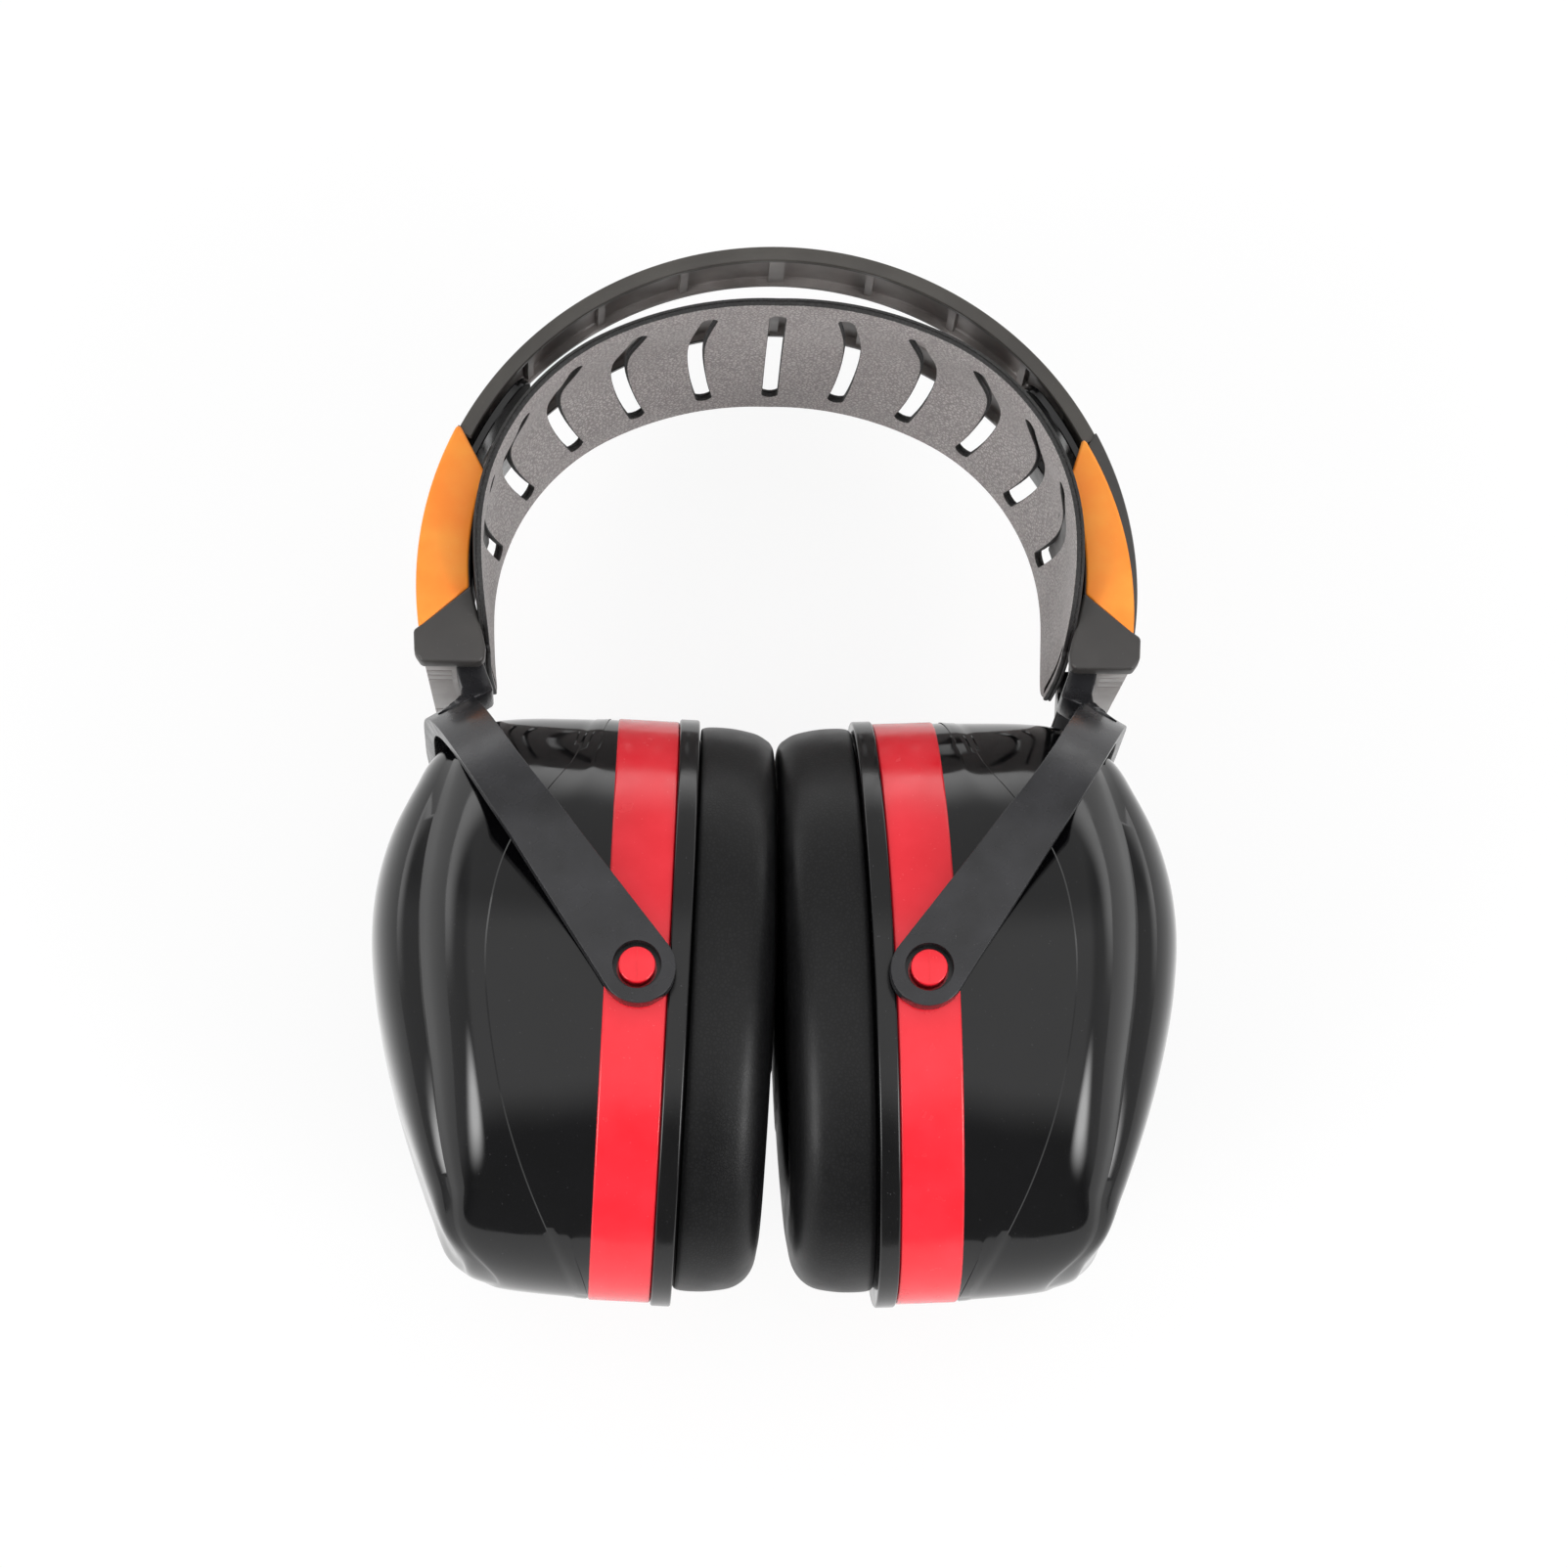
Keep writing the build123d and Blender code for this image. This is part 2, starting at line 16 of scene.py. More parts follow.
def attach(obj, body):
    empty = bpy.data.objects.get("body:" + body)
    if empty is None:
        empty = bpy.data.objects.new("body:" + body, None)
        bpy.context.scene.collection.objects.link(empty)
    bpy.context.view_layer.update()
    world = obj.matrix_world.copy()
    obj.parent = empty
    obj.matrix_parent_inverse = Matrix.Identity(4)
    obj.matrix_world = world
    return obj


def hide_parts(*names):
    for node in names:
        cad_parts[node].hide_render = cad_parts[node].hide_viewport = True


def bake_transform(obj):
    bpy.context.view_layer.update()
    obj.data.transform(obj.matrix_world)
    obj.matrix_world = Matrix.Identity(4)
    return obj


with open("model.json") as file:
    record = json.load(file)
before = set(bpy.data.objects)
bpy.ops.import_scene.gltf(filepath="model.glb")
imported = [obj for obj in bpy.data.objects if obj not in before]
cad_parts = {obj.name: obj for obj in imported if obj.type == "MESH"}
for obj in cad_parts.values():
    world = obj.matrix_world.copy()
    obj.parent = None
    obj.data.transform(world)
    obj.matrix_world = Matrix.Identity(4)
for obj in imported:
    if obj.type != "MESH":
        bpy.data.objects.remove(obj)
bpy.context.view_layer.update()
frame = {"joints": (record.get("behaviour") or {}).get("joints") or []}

MM = 0.001
SIDES = {"left": -1, "right": 1}
JOINTS = {joint["name"]: joint for joint in frame["joints"]}
PIVOT_X, PIVOT_Y, MID_Z = (value / MM for value in JOINTS["right_tilt"]["pos_m"])
CROWN_Y = JOINTS["left_spread"]["pos_m"][1] / MM

# ---- sizes shared by several pieces ----
BAND_RADIUS = 64.0
ARCH_Y = CROWN_Y - BAND_RADIUS
# Each cup's axis is turned up by this angle, so the tops of the cups lean together.
TOE = math.radians(2.5)
# Half depth, half height and end radius of the cup's oval and the ear opening's, and their centre's height.
CUP_OVAL = (40.0, 52.3, 30.0)
EAR_OVAL = (20.0, 31.0, 16.0)
CUP_LIFT = 2.2
# Along the cup's axis: half the ring's width, and the flange's face to the head.
RING_HALF = 5.5
FLANGE_OUT = -9.1
# From the middle plane: the outer faces of the yoke's eyes.
EYE_OUTER = 44.6
CORNERS = ((-1, -1), (1, -1), (1, 1), (-1, 1))


# ======== curves and meshes ========


def spline(keys, at):
    """Smooth values at places between (place, value) keys in rising order."""
    places, values = np.array(keys, float).T
    slopes = np.gradient(values, places)
    at = np.clip(at, places[0], places[-1])
    index = np.clip(np.searchsorted(places, at) - 1, 0, len(places) - 2)
    span = places[index + 1] - places[index]
    t = (at - places[index]) / span
    return (
        (2 * t**3 - 3 * t**2 + 1) * values[index]
        + (t**3 - 2 * t**2 + t) * span * slopes[index]
        + (3 * t**2 - 2 * t**3) * values[index + 1]
        + (t**3 - t**2) * span * slopes[index + 1]
    )


def bezier(start, start_handle, end_handle, end, count):
    """Points of a cubic from start, leaving its end out."""
    t = np.linspace(0, 1, count, endpoint=False)[:, None]
    rest = 1 - t
    return rest**3 * start + 3 * rest**2 * t * start_handle + 3 * rest * t**2 * end_handle + t**3 * end


def unit(vector):
    return vector / np.linalg.norm(vector)


def oval_points(size, directions, inset=0.0):
    """(depth, up) of a four-arc oval, where its outside faces each direction."""
    half_depth, half_height, end_radius = size
    end_up = half_height - end_radius
    side_radius = (half_depth**2 + end_up**2 - end_radius**2) / (2 * (half_depth - end_radius))
    side_depth = half_depth - side_radius
    switch = math.atan2(end_up, -side_depth)
    across, along = np.cos(directions), np.sin(directions)
    on_side = np.arctan2(np.abs(along), np.abs(across)) <= switch
    radius = np.where(on_side, side_radius, end_radius) - inset
    depth = np.where(on_side, np.sign(across) * side_depth, 0.0) + radius * across
    up = np.where(on_side, 0.0, np.sign(along) * end_up) + radius * along
    return np.stack([depth, up], 1)


def even_directions(count):
    """Directions, from the top round by the front, that divide the cup's oval into equal lengths."""
    fine = np.linspace(math.pi / 2, math.pi / 2 - 2 * math.pi, 4001)
    points = oval_points(CUP_OVAL, fine)
    run = np.concatenate([[0], np.cumsum(np.linalg.norm(np.diff(points, axis=0), axis=1))])
    return np.interp(np.linspace(0, run[-1], count, endpoint=False), run, fine)


def in_cup(side, out, up, depth):
    """Row-frame points from a cup's own: out along its axis, up to the crown, and depth to the front."""
    out, up, depth = np.broadcast_arrays(np.asarray(out, float), up, depth)
    x = PIVOT_X + out * math.cos(TOE) - up * math.sin(TOE)
    y = PIVOT_Y + out * math.sin(TOE) + up * math.cos(TOE)
    return np.stack([side * x, y, MID_Z + depth], -1)


def outside_point(side, radius, angle):
    """(x, y) about the arch's centre, the angle in degrees up from the horizontal."""
    turn = math.radians(angle)
    return side * radius * math.cos(turn), ARCH_Y + radius * math.sin(turn)


def on_arch(side, radius, angle, depth):
    """Row-frame point about the arch's centre, at a depth from the middle plane."""
    return (*outside_point(side, radius, angle), MID_Z + depth)


def circle(centre, radius):
    """(x, y) points round a centre."""
    turns = np.linspace(0, 2 * math.pi, 64, endpoint=False)
    return [(centre[0] + radius * math.cos(turn), centre[1] + radius * math.sin(turn)) for turn in turns]


def grid_faces(rows, columns, close_rows=False, close_columns=False):
    """Quads between rows of points."""
    faces = []
    for row in range(rows if close_rows else rows - 1):
        here, there = row * columns, (row + 1) % rows * columns
        for column in range(columns if close_columns else columns - 1):
            beside = (column + 1) % columns
            faces.append((here + column, here + beside, there + beside, there + column))
    return faces


def added(name, data):
    """A new object in the scene that holds the data."""
    obj = bpy.data.objects.new(name, data)
    bpy.context.scene.collection.objects.link(obj)
    return obj


def new_object(name, points, faces, *materials):
    """A mesh object from points in millimetres."""
    mesh = bpy.data.meshes.new(name)
    mesh.from_pydata([tuple(point) for point in np.asarray(points, float).reshape(-1, 3) * MM], [], faces)
    for material in materials:
        mesh.materials.append(material)
    return added(name, mesh)


def points_of(obj):
    return np.array([vert.co for vert in obj.data.vertices])


def move_points(obj, points):
    obj.data.vertices.foreach_set("co", points.astype(np.float32).ravel())


def evaluated_mesh(obj):
    """What the object's curve or modifiers make, as a mesh of its own."""
    bpy.context.view_layer.update()
    return bpy.data.meshes.new_from_object(obj.evaluated_get(bpy.context.evaluated_depsgraph_get()))


def apply_modifiers(obj):
    """Replaces the object's mesh by what its modifiers make of it."""
    made = evaluated_mesh(obj)
    old = obj.data
    obj.modifiers.clear()
    obj.data = made
    bpy.data.meshes.remove(old)


def finish_mesh(obj, sharp=35.0):
    """Welds, turns the faces outwards and shades smooth except across sharp edges."""
    shape = bmesh.new()
    shape.from_mesh(obj.data)
    bmesh.ops.remove_doubles(shape, verts=shape.verts, dist=0.01 * MM)
    bmesh.ops.recalc_face_normals(shape, faces=shape.faces)
    shape.to_mesh(obj.data)
    shape.free()
    obj.data.shade_smooth()
    obj.data.set_sharp_from_angle(angle=math.radians(sharp))
    return obj


def loops_object(name, loops, *materials, ends="joined", sharp=35.0):
    """Skin over closed loops of points, its two ends joined to each other, left open or capped."""
    loops = np.array(loops)
    rows, columns = loops.shape[:2]
    faces = grid_faces(rows, columns, close_rows=ends == "joined", close_columns=True)
    if ends == "capped":
        faces += [tuple(range(columns)), tuple(range(rows * columns - 1, (rows - 1) * columns - 1, -1))]
    return finish_mesh(new_object(name, loops, faces, *materials), sharp)


def slab(name, outline, one_depth, other_depth, *materials, front_outline=None):
    """Solid between two depths from the middle plane, with one outline of (x, y) points or two."""
    rear, front = sorted((one_depth, other_depth))
    count = len(outline)
    points = [(x, y, MID_Z + rear) for x, y in outline]
    points += [(x, y, MID_Z + front) for x, y in front_outline or outline]
    faces = [tuple(range(count - 1, -1, -1)), tuple(range(count, 2 * count))]
    faces += [(i, (i + 1) % count, count + (i + 1) % count, count + i) for i in range(count)]
    return finish_mesh(new_object(name, points, faces, *materials))


def soften(obj, width, segments, angle):
    """Rounds an object's edges that turn by more than the angle."""
    modifier = obj.modifiers.new("round", "BEVEL")
    modifier.width = width * MM
    modifier.segments = segments
    modifier.limit_method = "ANGLE"
    modifier.angle_limit = math.radians(angle)
    apply_modifiers(obj)
    return obj


def cut(obj, tool, operation="DIFFERENCE"):
    """Cuts a tool from an object, or joins the two, and removes the tool."""
    modifier = obj.modifiers.new("cut", "BOOLEAN")
    modifier.operation = operation
    modifier.solver = "EXACT"
    modifier.object = tool
    apply_modifiers(obj)
    bpy.data.objects.remove(tool)


def joined(name, objects):
    """Several objects as one, which keeps the materials of each."""
    bpy.context.view_layer.update()
    with bpy.context.temp_override(
        active_object=objects[0], selected_editable_objects=objects, selected_objects=objects
    ):
        bpy.ops.object.join()
    objects[0].name = name
    objects[0].data.name = name
    return objects[0]


# ======== materials ========

# A map range takes its value, from low and high, to low and high; a mix takes 0 share, 6 and 7 colours.
# Sizes on moulded plastic: clouds of colour, specks of dust and patches of wear.
CLOUD, SPECK, WEAR = 9.0, 0.45, 4.0
# Size of the creases in leather, and how many times finer than its pebbles the grain on them is.
CREASE, FINE = 7.0, 3.0
PLASTIC_IOR = 1.5


def linear(code):
    """Linear colour of an sRGB hex code."""
    values = [int(code[place : place + 2], 16) / 255 for place in (1, 3, 5)]
    return tuple(v / 12.92 if v <= 0.04045 else ((v + 0.055) / 1.055) ** 2.4 for v in values) + (1.0,)


def empty_tree(holder):
    """The cleared node tree of a material or a world."""
    holder.use_nodes = True
    holder.node_tree.nodes.clear()
    return holder.node_tree


def add_node(tree, kind, inputs=(), **settings):
    """Adds a node with its settings; each input is a value, or the node or socket it is linked from."""
    made = tree.nodes.new(kind)
    for key, value in settings.items():
        setattr(made, key, value)
    for key, value in dict(inputs).items():
        if isinstance(value, bpy.types.Node):
            value = next(socket for socket in value.outputs if socket.enabled)
        if isinstance(value, bpy.types.NodeSocket):
            tree.links.new(value, made.inputs[key])
        else:
            made.inputs[key].default_value = value
    return made


def start_material(name):
    """An empty material, its tree, and the place on the piece in millimetres."""
    made = bpy.data.materials.new(name)
    tree = empty_tree(made)
    here = add_node(tree, "ShaderNodeTexCoord").outputs["Object"]
    place = add_node(tree, "ShaderNodeVectorMath", {0: here, 1: (1 / MM,) * 3}, operation="MULTIPLY")
    return made, tree, place


def moulded_plastic(name, deep, pale, gloss, grain, relief, dust="#5A5A5C"):
    """Moulded plastic: clouds between two shades, patchy gloss, fine mould grain and specks of dust."""
    made, tree, place = start_material(name)
    cloud, specks, worn, pores = (
        add_node(tree, "ShaderNodeTexNoise", {"Vector": place, "Scale": 1 / size, "Detail": detail})
        for size, detail in ((CLOUD, 4), (SPECK, 1), (WEAR, 5), (grain, 2))
    )
    ramps = ((cloud, 0.35, 0.7), (specks, 0.74, 0.8, 0.0, 0.5), (worn, 0.3, 0.7, *gloss))
    shade, lint, rough = (add_node(tree, "ShaderNodeMapRange", dict(enumerate(ramp))) for ramp in ramps)
    base = add_node(tree, "ShaderNodeMix", {0: shade, 6: linear(deep), 7: linear(pale)}, data_type="RGBA")
    dusty = add_node(tree, "ShaderNodeMix", {0: lint, 6: base, 7: linear(dust)}, data_type="RGBA")
    rise = add_node(tree, "ShaderNodeBump", {"Height": pores, "Distance": relief * MM})
    looks = {"Base Color": dusty, "Roughness": rough, "Normal": rise, "IOR": PLASTIC_IOR}
    shader = add_node(tree, "ShaderNodeBsdfPrincipled", looks)
    add_node(tree, "ShaderNodeOutputMaterial", {"Surface": shader})
    return made


def grained_skin(name, deep, pale, pebble, relief, gloss, crease=0.0, sheen=0.5):
    """Skin pressed with a pebble grain, pale on the pebbles' tops, with slow creases under the grain."""
    made, tree, place = start_material(name)
    pebbles = {"Vector": place, "Scale": 1 / pebble}
    cells = add_node(tree, "ShaderNodeTexVoronoi", pebbles, feature="DISTANCE_TO_EDGE")
    fine = add_node(tree, "ShaderNodeTexNoise", {"Vector": place, "Scale": FINE / pebble, "Detail": 3})
    slow = add_node(tree, "ShaderNodeTexNoise", {"Vector": place, "Scale": 1 / CREASE, "Detail": 3})
    top = add_node(tree, "ShaderNodeMapRange", {0: cells, 1: 0.0, 2: 0.3})
    grain = add_node(tree, "ShaderNodeMath", {0: top, 1: fine}, operation="MULTIPLY")
    rough = add_node(tree, "ShaderNodeMapRange", {0: slow, 1: 0.3, 2: 0.7, 3: gloss[0], 4: gloss[1]})
    tone = add_node(tree, "ShaderNodeMapRange", {0: grain, 1: 0.05, 2: 0.55})
    base = add_node(tree, "ShaderNodeMix", {0: tone, 6: linear(deep), 7: linear(pale)}, data_type="RGBA")
    low = add_node(tree, "ShaderNodeBump", {"Height": slow, "Distance": crease * MM})
    rise = add_node(tree, "ShaderNodeBump", {"Height": grain, "Distance": relief * MM, "Normal": low})
    looks = {"Base Color": base, "Roughness": rough, "Normal": rise, "IOR": PLASTIC_IOR}
    shader = add_node(tree, "ShaderNodeBsdfPrincipled", {**looks, "Specular IOR Level": sheen})
    add_node(tree, "ShaderNodeOutputMaterial", {"Surface": shader})
    return made


# Polished black ABS: deep and mirror-like, with faint waves and a little dust.
SHELL = moulded_plastic("polished_black_abs", "#050506", "#08080A", (0.05, 0.12), 24.0, 0.12, "#3A3A3C")
# Glossy red ABS: one strong colour, a shade deeper in clouds.
RED = moulded_plastic("glossy_red_abs", "#E8202E", "#F02B39", (0.14, 0.28), 12.0, 0.05, "#FF6A70")
# Black flange and charcoal yokes: satin, the sheen a little uneven from patch to patch.
FLANGE = moulded_plastic("satin_black_flange", "#060607", "#0B0B0C", (0.12, 0.22), 0.5, 0.006)
YOKE = moulded_plastic("satin_black_nylon", "#1D1D1F", "#2A2A2D", (0.2, 0.32), 0.6, 0.012)
# Housings: matt, and a little browner than the yokes.
HOUSING = moulded_plastic("matt_black_housing", "#383635", "#3F3D3B", (0.38, 0.5), 0.5, 0.012)
# The band's rails are satin charcoal, and their channels and the guide a smoky, thinner-looking grey. The
# channels' grey is also painted paler still: painted light that makes up for the shade inside them.
RAIL = moulded_plastic("satin_charcoal_band", "#43403D", "#4C4945", (0.28, 0.4), 0.8, 0.01)
CHANNEL_PAINTED_LIGHT = moulded_plastic("smoked_channel_painted_light", "#7A7471", "#A09A97", (0.3, 0.42), 6.0, 0.05)
GUIDE = moulded_plastic("smoked_guide", "#8A8583", "#A5A09E", (0.3, 0.42), 5.0, 0.05)
# Straps: smooth and darkest, because they slide.
STRAP = moulded_plastic("smooth_black_strap", "#0E0E0F", "#161617", (0.16, 0.26), 8.0, 0.04)
# Satin orange polypropylene: even in colour, with a wide soft sheen.
ORANGE = moulded_plastic("satin_orange_pp", "#FF8B22", "#FF9E34", (0.34, 0.46), 0.6, 0.01, "#FFB070")
# Ear cushions: black polyurethane leather with a very fine grain and a weak sheen.
LEATHER = grained_skin("black_pu_leather", "#0C0C0D", "#171718", 0.7, 0.015, (0.34, 0.44), 0.04, 0.28)
# Head pad: a grey sheet with a soft leather grain towards the head, on a black one.
PAD = grained_skin("grained_grey_sheet", "#8B8786", "#C2BEBC", 0.75, 0.09, (0.55, 0.7))
PAD_EDGE = grained_skin("grained_black_edge", "#1C1B1B", "#2E2D2D", 0.75, 0.06, (0.55, 0.7))
# Acoustic foam in the cups: dark open cells about a millimetre across.
FOAM = grained_skin("open_cell_foam", "#0E0E10", "#3C3C40", 1.1, 0.6, (0.9, 1.0))


# ======== ear cups ========

AROUND = even_directions(192)


def oval_loops(side, size, rows):
    """Loops round the cup's axis, one for each (out, inset) row."""
    loops = []
    for out, inset in rows:
        points = oval_points(size, AROUND, inset)
        loops.append(in_cup(side, out, CUP_LIFT + points[:, 1], points[:, 0]))
    return loops


# (up, out) along the shell: the flank's crease, the valley round the cap, and the cap's middle line.
CREASE_OUT = [
    (-49.9, 7.5), (-47, 9.7), (-38.8, 14.8), (-27, 20.1), (-13.5, 23.8), (8.2, 25.8),
    (23, 22.9), (34.5, 16.5), (40.6, 12.9), (47.5, 10.8), (54.4, 8.8),
]
VALLEY_OUT = [
    (-48.4, 21.5), (-45, 26.6), (-35.5, 30.2), (-14, 35.0), (1.7, 37.6),
    (16, 38.3), (32.5, 36.4), (42, 34.2), (50.8, 31),
]
CAP_OUT = [
    (-48.4, 21.5), (-47.6, 25.0), (-45.4, 27.8), (-40.2, 31.4), (-30, 36.1), (-19.6, 40.3), (-9.1, 43.6),
    (1.5, 46), (14, 47.3), (23.1, 46.6), (30.4, 44.8), (37.9, 41.6), (46.1, 37.2), (50.8, 31),
]
# Half heights of the crease and the valley, and the height of the valley's centre.
CREASE_HALF, VALLEY_HALF, VALLEY_LIFT = 51.95, 49.6, 1.2
CAP_HALF_DEPTH = 27.0
# Height of the fine step along the crease, and how far the rim lies inside the ring.
CREASE_STEP, RIM_INSET = 0.22, 0.25
# The flank narrows by this share over this distance from the ring.
FLANK_TAPER, FLANK_LENGTH = 0.065, 19.0
SHELL_STATIONS = 120


def flank_depth(up):
    """Half depth of the cup's oval at a height above the pivot."""
    fine = np.linspace(-math.pi / 2, math.pi / 2, 721)
    points = oval_points(CUP_OVAL, fine)
    return np.interp(up, CUP_LIFT + points[:, 1], points[:, 0])


def shell_section(t):
    """Half section of the shell, rim to middle line, at a share of the way from top to foot."""
    swing = math.cos(math.pi * t)
    deep = math.sin(math.pi * t)
    fade = deep**0.5
    rim_up = CUP_LIFT + CUP_OVAL[1] * swing
    rim_depth = flank_depth(rim_up)
    rim = np.array([RING_HALF, rim_up - RIM_INSET * swing, max(rim_depth - RIM_INSET * deep, 0.0)])
    crease_up = CUP_LIFT + CREASE_HALF * swing
    crease_out = spline(CREASE_OUT, crease_up)
    taper = 1 - FLANK_TAPER * ((crease_out - RING_HALF) / FLANK_LENGTH) ** 1.5
    crease = np.array([crease_out, crease_up, rim_depth * taper])
    valley_up = VALLEY_LIFT + VALLEY_HALF * swing
    valley = np.array([spline(VALLEY_OUT, valley_up), valley_up, CAP_HALF_DEPTH * deep**0.8])
    middle = np.array([spline(CAP_OUT, valley_up), valley_up, 0.0])
    radial = unit(np.array([0.0, (crease_up - CUP_LIFT) / CUP_OVAL[1], crease[2] / CUP_OVAL[0]]))
    proud = crease + radial * CREASE_STEP * fade
    along = unit(crease - rim)
    bulge = radial * 0.5 * fade
    flank = bezier(rim, rim + along * 6 + bulge, proud - along * 6 + bulge / 2, proud, 9)
    inward = unit(np.array([0.0, -(valley_up - VALLEY_LIFT), -valley[2]]) + np.array([0, 0, -1e-6]))
    reach = (valley[0] - crease[0]) * (0.6 + 0.3 * swing * swing)
    corner = crease + along * reach + inward * 0.6 * deep
    turn_in, turn_out = crease + (corner - crease) * 0.4, corner + (valley - corner) * 0.7
    edge = np.linspace(crease + along * 0.3, turn_in, 5, endpoint=False)
    handles = [corner + (end - corner) * 0.4 for end in (turn_in, turn_out)]
    turned = bezier(turn_in, *handles, turn_out, 18)
    wall = np.linspace(turn_out, valley, 4, endpoint=False)
    gap = max(valley[2], 1e-6)
    rise = unit(np.array([0.95, 0, 0]) + 0.3 * inward) * gap * 0.3
    cap = bezier(valley, valley + rise, middle + np.array([0, 0, gap * 0.55]), middle, 10)
    tuck = np.array([[RING_HALF - 2.0, rim[1], rim[2]]])
    return np.concatenate([tuck, flank, [proud], edge, turned, wall, cap, [middle]])


def make_shell(name, side):
    """Deep cup moulding: flat flank, fine step along the crease, valley and keeled cap."""
    sections = []
    for station in range(SHELL_STATIONS + 1):
        half = shell_section(station / SHELL_STATIONS)
        full = np.concatenate([half, half[-2::-1] * [1, 1, -1]])
        sections.append(in_cup(side, full[:, 0], full[:, 1], full[:, 2]))
    sections = np.array(sections)
    faces = grid_faces(len(sections), sections.shape[1])
    shell = finish_mesh(new_object(f"shell_{name}", sections, faces, SHELL), 28.0)
    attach(shell, f"{name}_cup")
    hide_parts(f"outer_shell_{name}")


def rounded_rows(out_low, out_high, inset, rounding, inner_inset):
    """(out, inset) rows of a band's closed profile with its two outer edges rounded."""
    turns = np.radians([0, 22.5, 45, 67.5, 90])
    corner = [(rounding * (1 - math.cos(turn)), inset + rounding * (1 - math.sin(turn))) for turn in turns]
    low = [(out_low + out, row_inset) for out, row_inset in corner]
    high = [(out_high - out, row_inset) for out, row_inset in corner[::-1]]
    return [(out_low, inner_inset)] + low + high + [(out_high, inner_inset)]


PIN_RADIUS, BOSS_RADIUS = 3.15, 4.8
PIN_TIP, BOSS_FACE, BOSS_BASE = EYE_OUTER - 0.1, 40.8, 36.5
# (radius, depth) of a boss and its pin, from the ring's wall to the middle of the pin's tip.
PIN_PROFILE = [
    (BOSS_RADIUS, BOSS_BASE), (BOSS_RADIUS, BOSS_FACE - 0.2), (BOSS_RADIUS - 0.2, BOSS_FACE),
    (PIN_RADIUS, BOSS_FACE), (PIN_RADIUS, PIN_TIP - 0.25), (PIN_RADIUS - 0.08, PIN_TIP - 0.08),
    (PIN_RADIUS - 0.25, PIN_TIP), (0.02, PIN_TIP + 0.02),
]
# Half width and half length of the parting line on a pin's tip.
PARTING = (0.07, 2.9)


def make_ring(name, side):
    """Red ring with its two bosses and pivot pins, each with a parting line across its tip."""
    rows = rounded_rows(-RING_HALF, RING_HALF, 0.0, 0.45, 3.0)
    parts = [loops_object(f"ring_{name}", oval_loops(side, CUP_OVAL, rows), RED)]
    centre = (side * PIVOT_X, PIVOT_Y)
    line = [(centre[0] + x * PARTING[0], centre[1] + y * PARTING[1]) for x, y in CORNERS]
    for face in (-1, 1):
        loops = [[(x, y, MID_Z + face * z) for x, y in circle(centre, radius)] for radius, z in PIN_PROFILE]
        parts.append(loops_object("pin", loops, RED, ends="open", sharp=40))
        parts.append(slab("parting_line", line, face * (PIN_TIP - 0.2), face * (PIN_TIP + 0.06), RED))
    ring = joined(f"ring_{name}", parts)
    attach(ring, f"{name}_cup")
    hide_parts(f"pivot_ring_{name}")


# (out, inset) rows of the hem between the flange and the cushion.
HEM = [(FLANGE_OUT - 0.05, 5.0), (FLANGE_OUT - 0.05, 3.2), (-10.0, 2.9), (-10.6, 3.2), (-10.6, 5.0)]


def make_flange(name, side):
    """Black flange between ring and cushion, with the ear opening, and the cushion's hem on it."""
    ring_side = -RING_HALF - 0.05
    loops = oval_loops(side, CUP_OVAL, rounded_rows(FLANGE_OUT, ring_side, -0.5, 0.4, 4.0))
    loops += oval_loops(side, EAR_OVAL, [(ring_side, 0.0), (FLANGE_OUT, 0.0)])
    flange = loops_object(f"flange_{name}", loops, FLANGE)
    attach(flange, f"{name}_cup")
    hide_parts(f"base_plate_{name}")
    hem = loops_object(f"cushion_hem_{name}", oval_loops(side, CUP_OVAL, HEM), LEATHER)
    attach(hem, f"{name}_cup")
    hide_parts(f"cushion_carrier_{name}")


# The ear cushion's base and face along the cup's axis, and its height over the cup's oval.
CUSHION_BASE, CUSHION_FACE, CUSHION_LIFT = -9.3, -23.9, 0.9
# (out, inset) rows of its welt and flat wall.
CUSHION_WALL = [
    (CUSHION_BASE - 0.5, 3.0), (CUSHION_BASE, 2.3), (CUSHION_BASE - 0.25, 1.8), (CUSHION_BASE - 1.2, 1.5),
    (-12.5, 1.45), (-14.7, 1.5), (-16.6, 1.75),
]
# The oval where its face turns down to the ear opening.
FACE_INNER = (25.0, 36.0, 20.0)
# The most that puffing moves a point, and a cushion's distance from the plane between the cups.
PUFF_LIMIT, MIDDLE_GAP = 0.9, 0.2


def cushion_loops(side):
    """Closed profile of the ear cushion before it is puffed: welt, wall, shoulder, face and ear opening."""
    turns = np.radians(range(10, 91, 10))
    rows = CUSHION_WALL + [(-17.4 - 6.3 * math.sin(turn), 2.0 + 6.6 * (1 - math.cos(turn))) for turn in turns]
    loops = oval_loops(side, CUP_OVAL, rows)
    for share in (0.25, 0.5, 0.75):
        oval = [(1 - share) * (cup - rows[-1][1]) + share * ear for cup, ear in zip(CUP_OVAL, FACE_INNER)]
        loops += oval_loops(side, oval, [(CUSHION_FACE + 0.2 - 0.5 * math.sin(math.pi * share), 0.0)])
    turns = np.radians(range(90, 9, -20))
    rows = [(-18.7 - 5.0 * math.sin(turn), 0.8 - 5.0 * (1 - math.cos(turn))) for turn in turns]
    loops += oval_loops(side, EAR_OVAL, rows + [(-15.0, 0.8), (-11.0, 0.8), (CUSHION_BASE - 0.5, 0.6)])
    return np.array(loops) + [0, CUSHION_LIFT, 0]


